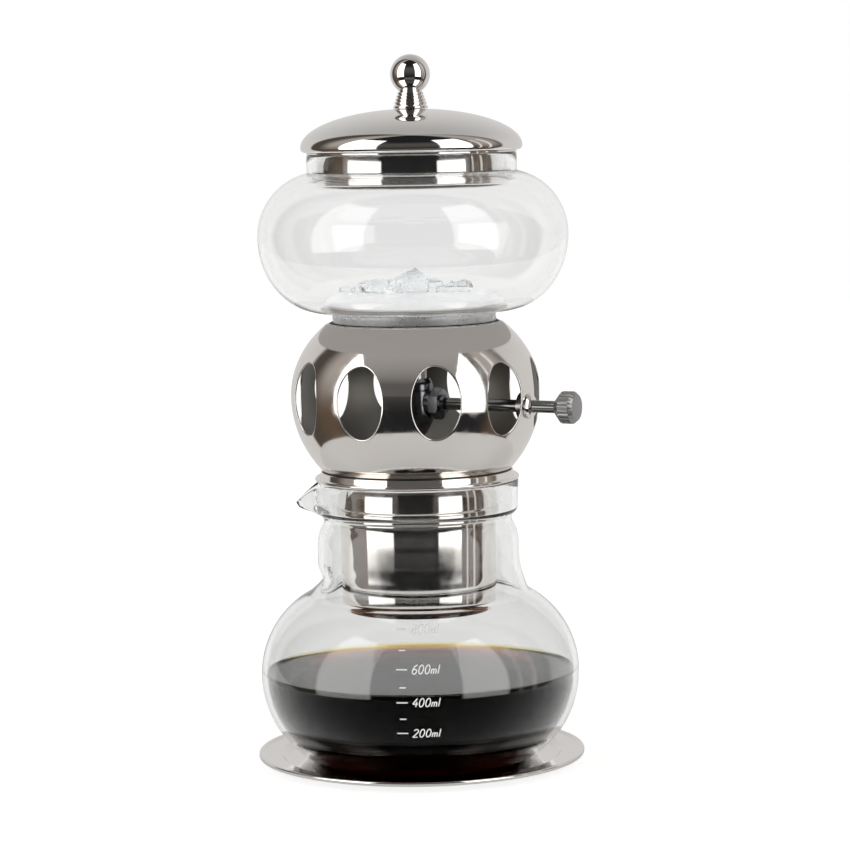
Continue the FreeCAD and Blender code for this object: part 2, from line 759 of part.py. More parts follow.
# ---- needle valve ----
def valve_body():
    """Round body on the drain tube, with a side boss for the stem and a socket for the nozzle."""
    top = VALVE_TOP_Z
    base = VALVE_BOTTOM_Z
    barrel = turned(
        line((0, base), (4.6, base)),
        spline([(4.6, base), (7.2, base + 5.0), (VALVE_R, STEM_Z - 2.0), (7.6, top - 5.6)]),
        line((7.6, top - 5.6), (7.1, top - 5.2)),
        line((7.1, top - 5.2), (7.5, top - 4.6)),
        spline([(7.5, top - 4.6), (7.3, top - 2.0), (6.2, top)]),
        line((6.2, top), (0, top)),
        line((0, top), (0, base)),
    )
    boss = to_stem(stem_ring(0, BOSS_R, 0, BOSS_END))
    body = joined(barrel, boss)
    socket = disc(DRAIN_R + THREAD_FIT, top - DRAIN_SOCKET, top + 1)
    chamber = to_stem(stem_ring(0, CHAMBER_R, CHAMBER_START, BOSS_END + 1))
    packing = to_stem(stem_ring(0, PACKING_R, PACKING_START, BOSS_END + 1))
    orifice = to_stem(stem_ring(0, SEAT_R, 0, CHAMBER_START + 0.5))
    feed = Part.makeCylinder(1.3, top - DRAIN_SOCKET + 1, V(CHAMBER_START + 1.9, 0, 0))
    feed = to_stem(feed)
    feed = feed.common(disc(VALVE_R, STEM_Z, top - DRAIN_SOCKET + 0.5))
    outlet = disc(NOZZLE_BORE_R, base - 1, STEM_Z)
    nozzle = disc(NOZZLE_R + THREAD_FIT, base - 1, base + NOZZLE_SOCKET)
    for tool in (socket, chamber, packing, orifice, feed, outlet, nozzle):
        body = body.cut(tool)
    return body


def drip_nozzle():
    top = VALVE_BOTTOM_Z + NOZZLE_SOCKET
    return lathe(
        (NOZZLE_BORE_R, NOZZLE_TIP_Z),
        (NOZZLE_TIP_R, NOZZLE_TIP_Z),
        (NOZZLE_TIP_R + 0.4, NOZZLE_TIP_Z + 3.4),
        (4.2, NOZZLE_TIP_Z + 4.6),
        (4.2, VALVE_BOTTOM_Z),
        (NOZZLE_R, VALVE_BOTTOM_Z),
        (NOZZLE_R, top),
        (NOZZLE_BORE_R, top),
    )


def needle():
    """Tapered pin that meters the flow. Its tail turns freely in the stem's end."""
    edge = SEAT_R - 0.03 - NEEDLE_OPEN * NEEDLE_SLOPE
    tip_r = 0.3
    tip = CHAMBER_START - (edge - tip_r) / NEEDLE_SLOPE
    full = CHAMBER_START + (NEEDLE_R - edge) / NEEDLE_SLOPE
    return to_stem(stem_lathe(
        (tip, 0),
        (tip, tip_r),
        (full, NEEDLE_R),
        (NEEDLE_END, NEEDLE_R),
        (NEEDLE_END, NEEDLE_TAIL_R),
        (NEEDLE_END + NEEDLE_TAIL, NEEDLE_TAIL_R),
        (NEEDLE_END + NEEDLE_TAIL, 0),
    ))


def valve_stem():
    start = NEEDLE_END + THREAD_FIT
    end = KNOB_START + KNOB_BORE_DEPTH
    rod = stem_ring(0, STEM_R, start, end)
    thread = stem_ring(0, CHAMBER_R - THREAD_FIT, start, PACKING_START - 0.9)
    tail = stem_ring(0, NEEDLE_TAIL_R + THREAD_FIT, start - 1, NEEDLE_END + NEEDLE_TAIL + 0.2)
    return to_stem(joined(rod, thread).cut(tail))


def stem_packing():
    return to_stem(stem_ring(STEM_R + 0.02, PACKING_R - 0.02, PACKING_START, BOSS_END + 0.1))


def packing_nut():
    wall = BOSS_END + 0.1
    nut = hexagon(NUT_FLATS, NUT_END - NUT_START, V(NUT_START, 0, 0), V(1, 0, 0))
    collar = stem_ring(0, NUT_COLLAR_R, NUT_END, NUT_END + NUT_COLLAR)
    nut = joined(nut, collar)
    thread = stem_ring(0, BOSS_R + THREAD_FIT, NUT_START - 1, wall)
    bore = stem_ring(0, STEM_R + RUNNING_FIT, NUT_START - 1, NUT_END + NUT_COLLAR + 1)
    barrel = disc(VALVE_R + 0.4, -20, 20)
    return to_stem(nut.cut(thread).cut(bore).cut(barrel))


def control_knob():
    """Fluted knob with a conical back and a chamfered face."""
    small = KNOB_R - 1.3
    blank = stem_lathe(
        (KNOB_START, 0),
        (KNOB_START, STEM_R + 0.9),
        (KNOB_START + KNOB_CONE, KNOB_R - 0.6),
        (KNOB_START + KNOB_CONE + 0.6, KNOB_R),
        (KNOB_END - KNOB_CHAMFER, KNOB_R),
        (KNOB_END, small),
        (KNOB_END, 0),
    )
    start = KNOB_START + KNOB_CONE
    length = KNOB_END - KNOB_CHAMFER - start
    flutes = []
    for i in range(KNOB_FLUTES):
        t = math.radians(360 / KNOB_FLUTES * (i + 0.5))
        radius = KNOB_R + KNOB_FLUTE_R * 0.35
        place = V(start, radius * math.cos(t), radius * math.sin(t))
        flutes.append(Part.makeCylinder(KNOB_FLUTE_R, length, place, V(1, 0, 0)))
    knob = blank.cut(Part.makeCompound(flutes))
    bore = stem_ring(0, STEM_R + THREAD_FIT, KNOB_START - 1, KNOB_START + KNOB_BORE_DEPTH + 0.1)
    grub = Part.makeCylinder(GRUB_R + THREAD_FIT, KNOB_R + 1, V(grub_place(), 0, 0), V(0, 0, -1))
    return to_stem(knob.cut(bore).cut(grub))


def grub_place():
    """Where the grub screw stands along the stem."""
    return (KNOB_START + KNOB_CONE + KNOB_END - KNOB_CHAMFER) / 2 - 1.0


def knob_grub_screw():
    length = KNOB_R - STEM_R - 1.4
    screw = Part.makeCylinder(GRUB_R, length, V(grub_place(), 0, -STEM_R), V(0, 0, -1))
    socket = hexagon(1.5, 1.2, V(grub_place(), 0, -STEM_R - length + 1.2), V(0, 0, -1))
    return to_stem(screw.cut(socket))


# ---- lid ----
def lid_dome():
    t = SHEET
    centre = (0, LID_EDGE_Z)
    rise = LID_TOP_Z - LID_EDGE_Z
    hole = FINIAL_SCREW_R + 0.3
    start = math.degrees(math.acos(hole / LID_R))
    start_in = math.degrees(math.acos(hole / (LID_R - t)))
    floor = TANK_RIM_Z + t
    roll = LID_EDGE_Z - floor
    under = (LID_R - roll, floor)
    return turned(
        ellipse(centre, LID_R, rise, start, 0),
        ellipse((LID_R - roll, LID_EDGE_Z), roll, roll, 0, -90),
        line(under, (SKIRT_R + 1.0, floor)),
        line((SKIRT_R + 1.0, floor), (SKIRT_R + 1.0, floor + t)),
        line((SKIRT_R + 1.0, floor + t), (LID_R - roll, floor + t)),
        ellipse((LID_R - roll, LID_EDGE_Z), roll - t, roll - t, -90, 0),
        ellipse(centre, LID_R - t, rise - t, 0, start_in),
        line(on_ellipse(centre, LID_R - t, rise - t, start_in), on_ellipse(centre, LID_R, rise, start)),
    )


def lid_skirt():
    """Short sleeve that centres the lid in the tank's mouth, with a rolled lower edge."""
    t = SHEET
    top = TANK_RIM_Z + t
    roll = 0.8
    low = SKIRT_FLOOR_Z
    return turned(
        line((SKIRT_R, low + roll), (SKIRT_R, TANK_RIM_Z)),
        line((SKIRT_R, TANK_RIM_Z), (SKIRT_FLANGE_R, TANK_RIM_Z)),
        line((SKIRT_FLANGE_R, TANK_RIM_Z), (SKIRT_FLANGE_R, top)),
        line((SKIRT_FLANGE_R, top), (SKIRT_R - t, top)),
        line((SKIRT_R - t, top), (SKIRT_R - t, low + 2 * roll)),
        arc((SKIRT_R - t, low + 2 * roll), (SKIRT_R - t - roll, low + roll), (SKIRT_R - t, low)),
        arc((SKIRT_R - t, low), (SKIRT_R - 0.23, low + 0.23), (SKIRT_R, low + roll)),
    )


def lid_finial():
    """Turned ball on a ribbed neck, tapped from below."""
    base = LID_TOP_Z
    neck_r = 5.2
    neck_z = FINIAL_BALL_Z - math.sqrt(FINIAL_BALL_R**2 - neck_r**2)
    half = math.sqrt(0.5)
    foot_top = base + 1.6
    ribs = [(FINIAL_FOOT_R - 0.9, foot_top + 0.5)]
    step = (neck_z - 1.0 - foot_top) / FINIAL_RIBS
    for i in range(FINIAL_RIBS):
        low = foot_top + step * i
        radius = FINIAL_FOOT_R - 0.5 - 0.45 * i
        ribs.append((radius, low + step * 0.35))
        ribs.append((radius, low + step * 0.65))
        ribs.append((radius - 0.8, low + step))
    edges = [line((0, base), (FINIAL_FOOT_R, base))]
    edges.append(line((FINIAL_FOOT_R, base), (FINIAL_FOOT_R, base + 1.0)))
    edges.append(line((FINIAL_FOOT_R, base + 1.0), ribs[0]))
    for p, q in zip(ribs, ribs[1:]):
        edges.append(line(p, q))
    edges.append(line(ribs[-1], (neck_r, neck_z)))
    equator = (FINIAL_BALL_R, FINIAL_BALL_Z)
    edges.append(arc((neck_r, neck_z), equator, (0, FINIAL_BALL_Z + FINIAL_BALL_R)))
    edges.append(line((0, FINIAL_BALL_Z + FINIAL_BALL_R), (0, base)))
    return turned(*edges).cut(disc(FINIAL_SCREW_R + THREAD_FIT, base - 1, FINIAL_BALL_Z - 4.0))


def finial_washer():
    top = LID_TOP_Z - SHEET - WASHER_SEAT
    return ring(FINIAL_SCREW_R + 0.2, FINIAL_WASHER_R, top - FINIAL_WASHER, top)


def finial_screw():
    head_top = LID_TOP_Z - SHEET - WASHER_SEAT - FINIAL_WASHER
    head = disc(FINIAL_SCREW_HEAD_R, head_top - 2.2, head_top)
    shank = disc(FINIAL_SCREW_R, head_top, FINIAL_BALL_Z - 5.0)
    cross = Part.makeBox(3.8, 0.9, 1.1, V(-1.9, -0.45, head_top - 2.2))
    other = cross.copy()
    other.rotate(ORIGIN, UP, 90)
    return joined(head, shank).cut(cross).cut(other)


NODES = {
    "saucer": saucer,
    "server": server,
    "brewed_coffee": brewed_coffee,
    "filter_cup": filter_cup,
    "filter_screen": filter_screen,
    "spreader_plate": spreader_plate,
    "base_seal": base_seal,
    "ball_housing": ball_housing,
    "stem_bush": stem_bush,
    "bush_nut": bush_nut,
    "tank": tank,
    "tank_foot_seal": tank_foot_seal,
    "tank_water": tank_water,
    "ice_cubes": ice_cubes,
    "drain_tube": drain_tube,
    "drain_washer_upper": drain_washer_upper,
    "drain_washer_lower": drain_washer_lower,
    "drain_locknut": drain_locknut,
    "valve_body": valve_body,
    "drip_nozzle": drip_nozzle,
    "needle": needle,
    "valve_stem": valve_stem,
    "stem_packing": stem_packing,
    "packing_nut": packing_nut,
    "control_knob": control_knob,
    "knob_grub_screw": knob_grub_screw,
    "lid_dome": lid_dome,
    "lid_skirt": lid_skirt,
    "lid_finial": lid_finial,
    "finial_washer": finial_washer,
    "finial_screw": finial_screw,
}


def main():
    os.makedirs("parts", exist_ok=True)
    for name, make in NODES.items():
        shape = make()
        shape.exportStep(os.path.join("parts", name + ".step"))
        solids = shape.Solids
        volume = sum(s.Volume for s in solids)
        print(f"{name}: {len(solids)} solid(s), {volume:.1f} mm3, valid {shape.isValid()}")


main()
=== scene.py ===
"""Looks of the cold drip coffee tower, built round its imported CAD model.

Outlines are (radius, height) points in millimetres, turned about the tower's axis, with the frame's own axes:
+Z up, -Y the side with the volume scale, -X the side with the pouring lip.
"""

import math

import bmesh
import bpy
import numpy as np
from mathutils import Matrix, Vector, noise


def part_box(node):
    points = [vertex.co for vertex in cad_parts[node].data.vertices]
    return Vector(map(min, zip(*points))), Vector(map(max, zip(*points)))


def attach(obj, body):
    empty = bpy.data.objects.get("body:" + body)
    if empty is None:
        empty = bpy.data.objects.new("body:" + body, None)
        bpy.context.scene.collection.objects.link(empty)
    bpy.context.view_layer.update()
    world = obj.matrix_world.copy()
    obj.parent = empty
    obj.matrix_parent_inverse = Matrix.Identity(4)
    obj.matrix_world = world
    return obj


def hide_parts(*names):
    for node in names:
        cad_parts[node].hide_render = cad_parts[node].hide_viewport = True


MM = 0.001
STEPS = 240               # segments of a turned piece

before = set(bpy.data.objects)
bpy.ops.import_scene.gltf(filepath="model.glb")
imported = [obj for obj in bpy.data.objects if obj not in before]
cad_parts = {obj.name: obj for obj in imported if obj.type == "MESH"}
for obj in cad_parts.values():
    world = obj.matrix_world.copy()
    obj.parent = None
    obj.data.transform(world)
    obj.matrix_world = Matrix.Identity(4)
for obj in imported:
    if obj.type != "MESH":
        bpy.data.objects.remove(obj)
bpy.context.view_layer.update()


# ---- sizes read from the frame, in millimetres ----
def span(node):
    """Half width and lowest and highest point of a node that is turned about the tower's axis."""
    low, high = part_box(node)
    return (high[0] - low[0]) / 2 / MM, low[2] / MM, high[2] / MM


SAUCER_R, SAUCER_LOW, SAUCER_TOP = span("saucer")
TANK_R, TANK_LOW, TANK_TOP = span("tank")
BALL_R, BALL_LOW = span("ball_housing")[:2]
CUP_LOW = span("filter_cup")[1]
LID_R, LID_LOW, LID_TOP = span("lid_dome")
SKIRT_R, SKIRT_LOW, SKIRT_TOP = span("lid_skirt")
FINIAL_R, FINIAL_LOW, FINIAL_TOP = span("lid_finial")

SHEET = 0.8               # spun steel
GLASS = 2.3               # blown glass
RIM_Z = span("server")[2]
SERVER_WIDEST_Z = 39.5    # height of the server's widest place
GRIP_Z = 96.0             # height of its thumb dimples' middle
GRIP_DEPTH = 3.4
NOTCH_DEPTH = 4.6         # depth of the finger notch under its lip
LIP_REACH = 9.0           # how far its lip is drawn out and down
COFFEE_Z = span("brewed_coffee")[2]
WATER_Z = span("tank_water")[2]
FLOOR_UNDER = span("drain_washer_lower")[2]     # underside of the tank's glass floor
FLOOR_TOP = span("drain_washer_upper")[1]
STEM_TURN = 63.5          # azimuth of the valve stem from -Y towards +X, in degrees
STEM_Z = 160.0
BALL_Z = 164.0            # height of the ball's widest place
BALL_UP = 45.0            # its vertical half axis above that place
BALL_DOWN = 51.0          # and below it
FLOOR_BORE_R = 37.5       # radius of the hole in its floor
WINDOWS = 10
WINDOW_TURN = 9.5
WINDOW_Z = 164.6
WINDOW_HALF = (10.75, 15.85)
TANK_Z = 234.5            # height of the tank's widest place
TANK_ROUND = 28.6         # radius of its bulge's outline above that place
TANK_DOWN = 33.5          # how far the bulge reaches below it
TANK_WALL = 2.2
TANK_MOUTH_R = 46.3
TANK_FOOT_R = 36.2
LID_EDGE_Z = 273.4        # height of the lid's widest place


# ---- outlines ----
def ellipse(centre, a, b, start, end, count=40):
    """Points of an ellipse's arc, from start to end degrees above the horizontal."""
    turns = np.radians(np.linspace(start, end, count))
    return [(centre[0] + a * math.cos(t), centre[1] + b * math.sin(t)) for t in turns]


def smooth(points, count=60, start=None, end=None):
    """Points of the cubic spline through points, spaced by chord length."""
    p = np.array(points, float)
    gaps = np.hypot(*np.diff(p, axis=0).T)
    t = np.concatenate([[0], np.cumsum(gaps)])
    n = len(p)
    rows = np.zeros((n, n))
    right = np.zeros((n, 2))
    for i in range(1, n - 1):
        a, b = gaps[i - 1], gaps[i]
        rows[i, i - 1], rows[i, i], rows[i, i + 1] = b, 2 * (a + b), a
        right[i] = 3 * (b / a * (p[i] - p[i - 1]) + a / b * (p[i + 1] - p[i]))
    first = np.array(start, float) if start else (p[1] - p[0]) / gaps[0]
    last = np.array(end, float) if end else (p[-1] - p[-2]) / gaps[-1]
    rows[0, 0] = rows[-1, -1] = 1
    right[0] = first / np.hypot(*first)
    right[-1] = last / np.hypot(*last)
    slopes = np.linalg.solve(rows, right)
    result = []
    for u in np.linspace(0, t[-1], count):
        i = min(np.searchsorted(t, u, side="right") - 1, n - 2)
        h = gaps[i]
        x = (u - t[i]) / h
        q = ((1 + 2 * x) * (1 - x) ** 2 * p[i] + x * (1 - x) ** 2 * h * slopes[i]
             + x * x * (3 - 2 * x) * p[i + 1] + x * x * (x - 1) * h * slopes[i + 1])
        result.append((float(q[0]), float(q[1])))
    return result


def rounded(corners, radius, count=6):
    """An open outline of straight lines whose inner corners are rounded.

    A corner's third value is its own radius."""
    result = [corners[0][:2]]
    for before, corner, after in zip(corners, corners[1:], corners[2:]):
        size = corner[2] if len(corner) > 2 else radius
        here = np.array(corner[:2], float)
        back = np.array(before[:2], float) - here
        on = np.array(after[:2], float) - here
        back_length, on_length = np.hypot(*back), np.hypot(*on)
        back, on = back / back_length, on / on_length
        half = math.acos(max(-1, min(1, float(back @ on)))) / 2
        if size <= 0 or abs(half - math.pi / 2) < 0.01:
            result.append(tuple(here))
            continue
        reach = min(size / math.tan(half), back_length * 0.48, on_length * 0.48)
        size = reach * math.tan(half)
        middle = here + (back + on) / np.hypot(*(back + on)) * size / math.sin(half)
        first, last = here + back * reach - middle, here + on * reach - middle
        begin = math.atan2(first[1], first[0])
        sweep = (math.atan2(last[1], last[0]) - begin + math.pi) % (2 * math.pi) - math.pi
        for k in range(count + 1):
            t = begin + sweep * k / count
            result.append((middle[0] + size * math.cos(t), middle[1] + size * math.sin(t)))
    result.append(corners[-1][:2])
    return result


def offset(points, depth):
    """An open outline moved to its left by depth, square to itself."""
    p = np.array(points, float)
    way = np.gradient(p, axis=0)
    way /= np.hypot(*way.T)[:, None]
    return [(float(x), float(z)) for x, z in p + depth * np.stack([-way[:, 1], way[:, 0]], axis=1)]


# ---- meshes ----
def piece(name, verts, faces, material, body, replaced=(), sharp=32):
    """A mesh object in metres that rides on a body, from points in millimetres."""
    mesh = bpy.data.meshes.new(name)
    mesh.from_pydata([Vector(v) * MM for v in verts], [], faces)
    mesh.validate()
    bm = bmesh.new()
    bm.from_mesh(mesh)
    bmesh.ops.remove_doubles(bm, verts=bm.verts, dist=1e-7)
    bmesh.ops.dissolve_degenerate(bm, edges=bm.edges, dist=1e-8)
    bmesh.ops.recalc_face_normals(bm, faces=bm.faces)
    bm.to_mesh(mesh)
    bm.free()
    mesh.shade_smooth()
    mesh.set_sharp_from_angle(angle=math.radians(sharp))
    mesh.materials.append(material)
    obj = bpy.data.objects.new(name, mesh)
    bpy.context.scene.collection.objects.link(obj)
    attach(obj, body)
    if replaced:
        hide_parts(*replaced)
    return obj


def joined(rings, steps):
    """Faces between each ring of points and the next, and between the last and the first."""
    faces = []
    for a, b in zip(rings, rings[1:] + rings[:1]):
        if a is b or (a[0] == a[1] and b[0] == b[1]):
            continue
        for k in range(steps):
            j = (k + 1) % steps
            corner = [a[k], a[j], b[j], b[k]]
            face = [v for i, v in enumerate(corner) if v != corner[i - 1]]
            if len(face) > 2:
                faces.append(face)
    return faces


def lathe_mesh(outline, steps, shape):
    """Points and faces of an outline turned about the axis. shape moves a point (x, y, z)."""
    verts = []
    rings = []
    for r, z in outline:
        if r < 1e-6:
            rings.append([len(verts)] * steps)
            verts.append((0.0, 0.0, z))
            continue
        ring = []
        for k in range(steps):
            t = 2 * math.pi * k / steps
            ring.append(len(verts))
            verts.append((r * math.sin(t), -r * math.cos(t), z))
        rings.append(ring)
    if shape:
        verts = [shape(*v) for v in verts]
    return verts, joined(rings, steps)


def lathe(name, outline, material, body, replaced=(), steps=STEPS, shape=None, sharp=32):
    verts, faces = lathe_mesh(outline, steps, shape)
    return piece(name, verts, faces, material, body, replaced, sharp)


def apply_modifiers(obj):
    """Bakes an object's modifiers into its mesh."""
    depsgraph = bpy.context.evaluated_depsgraph_get()
    mesh = bpy.data.meshes.new_from_object(obj.evaluated_get(depsgraph))
    obj.modifiers.clear()
    obj.data = mesh


# ---- materials ----
class Look:
    """A Principled material under construction."""

    def __init__(self, name, **values):
        self.material = bpy.data.materials.new(name)
        self.material.use_nodes = True
        self.tree = self.material.node_tree
        self.bsdf = self.tree.nodes["Principled BSDF"]
        for key, value in values.items():
            self.bsdf.inputs[key.replace("_", " ")].default_value = value

    def node(self, kind, inputs=(), **settings):
        node = self.tree.nodes.new(kind)
        for key, value in settings.items():
            setattr(node, key, value)
        for key, value in dict(inputs).items():
            if isinstance(value, bpy.types.NodeSocket):
                self.tree.links.new(value, node.inputs[key])
            else:
                node.inputs[key].default_value = value
        return node

    def link(self, output, key):
        self.tree.links.new(output, self.bsdf.inputs[key])

    def place(self):
        """The point in the part's own frame, in metres."""
        return self.node("ShaderNodeTexCoord").outputs["Object"]

    def between(self, value, low, high, to_low, to_high):
        limits = {"Value": value, "From Min": low, "From Max": high, "To Min": to_low, "To Max": to_high}
        return self.node("ShaderNodeMapRange", limits).outputs["Result"]


def steel(name, colour, roughness, wear=0.06):
    """Polished steel: faint cloudy wipe marks in the gloss, and the slight waviness of a spun sheet."""
    look = Look(name, Metallic=1.0, Base_Color=(*colour, 1))
    place = look.place()
    wipes = look.node("ShaderNodeTexNoise", {
        "Vector": place, "Scale": 220.0, "Detail": 4.0, "Roughness": 0.6})
    look.link(look.between(wipes.outputs["Fac"], 0.35, 0.7, roughness, roughness + wear), "Roughness")
    waves = look.node("ShaderNodeTexNoise", {"Vector": place, "Scale": 26.0, "Detail": 1.0})
    rise = look.node("ShaderNodeBump", {
        "Height": waves.outputs["Fac"], "Distance": 0.00002, "Strength": 0.5})
    look.link(rise.outputs["Normal"], "Normal")
    return look.material


def turned_steel(name, colour, roughness):
    """Machined steel with the fine grain left by the lathe."""
    look = Look(name, Metallic=1.0, Base_Color=(*colour, 1))
    grain = look.node("ShaderNodeTexNoise", {"Vector": look.place(), "Scale": 900.0, "Detail": 3.0})
    look.link(look.between(grain.outputs["Fac"], 0.3, 0.7, roughness, roughness + 0.05), "Roughness")
    rise = look.node("ShaderNodeBump", {
        "Height": grain.outputs["Fac"], "Distance": 0.000005, "Strength": 0.2})
    look.link(rise.outputs["Normal"], "Normal")
    return look.material


def glass(name, tint, gloss=1.0, ior=1.47):
    """Clear blown glass, with the slow ripples of the blowing. Glass that liquid wets has little gloss;
    elsewhere a lower gloss is painted shade that dims the reflections.
    """
    look = Look(name, Base_Color=(*tint, 1), Roughness=0.0, IOR=ior, Transmission_Weight=1.0,
                Specular_IOR_Level=0.5 * gloss, Specular_Tint=(gloss, gloss, gloss, 1))
    waves = look.node("ShaderNodeTexNoise", {"Vector": look.place(), "Scale": 18.0, "Detail": 1.0})
    rise = look.node("ShaderNodeBump", {"Height": waves.outputs["Fac"], "Distance": 0.0002, "Strength": 0.35})
    look.link(rise.outputs["Normal"], "Normal")
    return look.material


def rubber(name, colour, roughness):
    look = Look(name, Base_Color=(*colour, 1), Roughness=roughness)
    grain = look.node("ShaderNodeTexNoise", {"Vector": look.place(), "Scale": 1400.0, "Detail": 2.0})
    rise = look.node("ShaderNodeBump", {"Height": grain.outputs["Fac"], "Distance": 0.00003, "Strength": 0.3})
    look.link(rise.outputs["Normal"], "Normal")
    return look.material


def liquid(name, tint, density):
    """A liquid that takes its colour from its depth, and has gloss only where it is seen at a low angle."""
    look = Look(name, Base_Color=(1, 1, 1, 1), Roughness=0.0, IOR=1.333, Transmission_Weight=1.0,
                Specular_IOR_Level=0.0, Specular_Tint=(0, 0, 0, 1))
    depth = look.node("ShaderNodeVolumeAbsorption", {"Color": (*tint, 1), "Density": density})
    output = look.tree.nodes["Material Output"]
    look.tree.links.new(depth.outputs["Volume"], output.inputs["Volume"])
    return look.material


def frosted(name, tint):
    """Glass under a film of frost."""
    look = Look(name, Base_Color=(*tint, 1), IOR=1.47, Transmission_Weight=0.75)
    film = look.node("ShaderNodeTexNoise", {"Vector": look.place(), "Scale": 300.0, "Detail": 4.0})
    look.link(look.between(film.outputs["Fac"], 0.3, 0.7, 0.20, 0.40), "Roughness")
    rise = look.node("ShaderNodeBump", {"Height": film.outputs["Fac"], "Distance": 0.0002, "Strength": 0.4})
    look.link(rise.outputs["Normal"], "Normal")
    return look.material


def cloudy(name, colour):
    """Half-frozen melt water: it lets light through but nothing behind it shows sharply. Its faint glow is
    painted light that brightens it.
    """
    # Painted light: the water glows faintly in its own colour.
    look = Look(name, Base_Color=(*colour, 1), IOR=1.333, Transmission_Weight=0.55,
                Emission_Color=(*colour, 1), Emission_Strength=0.28)
    place = look.place()
    slush = look.node("ShaderNodeTexNoise", {
        "Vector": place, "Scale": 420.0, "Detail": 5.0, "Roughness": 0.65})
    look.link(look.between(slush.outputs["Fac"], 0.3, 0.7, 0.32, 0.62), "Roughness")
    rise = look.node("ShaderNodeBump", {"Height": slush.outputs["Fac"], "Distance": 0.0006, "Strength": 0.6})
    look.link(rise.outputs["Normal"], "Normal")
    return look.material


POLISHED = steel("polished_steel", (0.83, 0.81, 0.79), 0.03)
BALL_STEEL = steel("ball_steel", (0.82, 0.79, 0.76), 0.055, wear=0.09)
CUP_STEEL = steel("cup_steel", (0.84, 0.81, 0.78), 0.035, wear=0.06)
MACHINED = turned_steel("machined_steel", (0.50, 0.49, 0.48), 0.24)
STEM_STEEL = turned_steel("stem_steel", (0.25, 0.245, 0.24), 0.14)
DARK = turned_steel("dark_metal", (0.20, 0.20, 0.215), 0.18)
KNOB = turned_steel("knob_metal", (0.36, 0.355, 0.35), 0.30)
# The ball's inside: rough steel whose dark tone is painted shade inside the closed ball.
INNER_SHADE = turned_steel("inner_steel_shade", (0.27, 0.26, 0.24), 0.36)
TANK_GLASS = glass("tank_glass", (0.926, 0.928, 0.926))
TANK_FROST = frosted("tank_frost", (0.96, 0.96, 0.95))
SERVER_TINT = (0.862, 0.866, 0.860)
SERVER_GLASS = glass("server_glass", SERVER_TINT)
# Copies of the server's glass: the wet inside has little gloss, and the lower outside and the lip have their
# reflections dimmed as painted shade.
SERVER_UNDER_DIMMED = glass("server_glass_under", SERVER_TINT, 0.25)
SERVER_WET = glass("server_glass_wet", SERVER_TINT, 0.0)
SERVER_LIP_DIMMED = glass("server_glass_lip", SERVER_TINT, 0.6, 1.18)
BLACK = rubber("black_silicone", (0.012, 0.012, 0.012), 0.45)
CLEAR = rubber("clear_silicone", (0.55, 0.55, 0.53), 0.5)
COFFEE = liquid("coffee", (0.93, 0.84, 0.45), 1250.0)
WATER = cloudy("water", (0.97, 0.975, 0.98))
PTFE = rubber("ptfe", (0.8, 0.8, 0.78), 0.5)
ENAMEL = rubber("white_enamel", (0.86, 0.86, 0.86), 0.5)
MESH_STEEL = turned_steel("mesh_steel", (0.55, 0.55, 0.54), 0.3)


# ---- saucer ----
def saucer():
    well, rim_in = 61.0, 63.6
    sheet, top = 1.0, SAUCER_TOP - 0.9
    outline = rounded([
        (0, SAUCER_LOW), (well, SAUCER_LOW, 4.0), (rim_in, top - sheet, 2.0),
        (SAUCER_R - 0.9, top - sheet, 0.5), (SAUCER_R, top - sheet, 0.9), (SAUCER_R, SAUCER_TOP, 0.9),
        (SAUCER_R - 1.6, SAUCER_TOP, 0.8),
        (SAUCER_R - 3.0, top, 1.5), (rim_in - 0.4, top, 1.6), (well - 0.6, sheet, 3.0), (0, sheet)], 0.3)
    lathe("saucer_dish", outline, POLISHED, "saucer_body", ["saucer"])


# ---- server ----
def server_outside():
    """The outside from the foot to the rim, without the lip and the dimples."""
    centre = (30.0, SERVER_WIDEST_Z)
    neck = [(50.19, 75.18), (47.2, 80.6), (45.5, 86.5), (44.9, 94.0), (44.5, 101.0), (43.0, 105.3),
            (41.8, 108.2), (42.5, 110.4), (44.2, 112.2), (44.6, 115.0)]
    leave = (-math.sin(math.radians(60.5)), math.cos(math.radians(60.5)))
    foot = ellipse(centre, 41.0, 43.0, -59.0, 0, 36)
    return (rounded([(0, 1.0), (47.0, 1.0, 6.0), foot[0]], 6.0, 8)[:-1] + foot
            + ellipse(centre, 41.0, 41.0, 0, 60.5, 40)[1:]
            + smooth(neck, 70, leave, (0.045, 1.0))[1:] + [(44.7, 118.0), (44.9, 122.0), (45.05, 125.2)])


def server_shape(x, y, z):
    """Presses the thumb dimples and the finger notch into a point of the server, and draws out its lip."""
    r = math.hypot(x, y)
    if r < 20 or z < 60:
        return x, y, z
    grip = math.exp(-((abs(x) / 25.0) ** 2.2 + (abs(z - GRIP_Z) / 18.0) ** 2.0))
    y -= math.copysign(GRIP_DEPTH * grip, y) if abs(y) > 15 else 0
    if x < 0:
        notch = math.exp(-((abs(y) / 17.0) ** 2 + (abs(z - 81.8) / 4.2) ** 2.2))
        x += NOTCH_DEPTH * notch
        height = min(1.0, max(0.0, (z - 108.5) / (RIM_Z - 108.5)))
        height = height * height * (3 - 2 * height)
        across = 0.55 * math.exp(-(y / 6.4) ** 2) + 0.45 * math.exp(-(y / 13.0) ** 2)
        x -= LIP_REACH * height * across
        z -= LIP_REACH * height * across
        y *= 1 - 0.12 * height * across
    return x, y, z


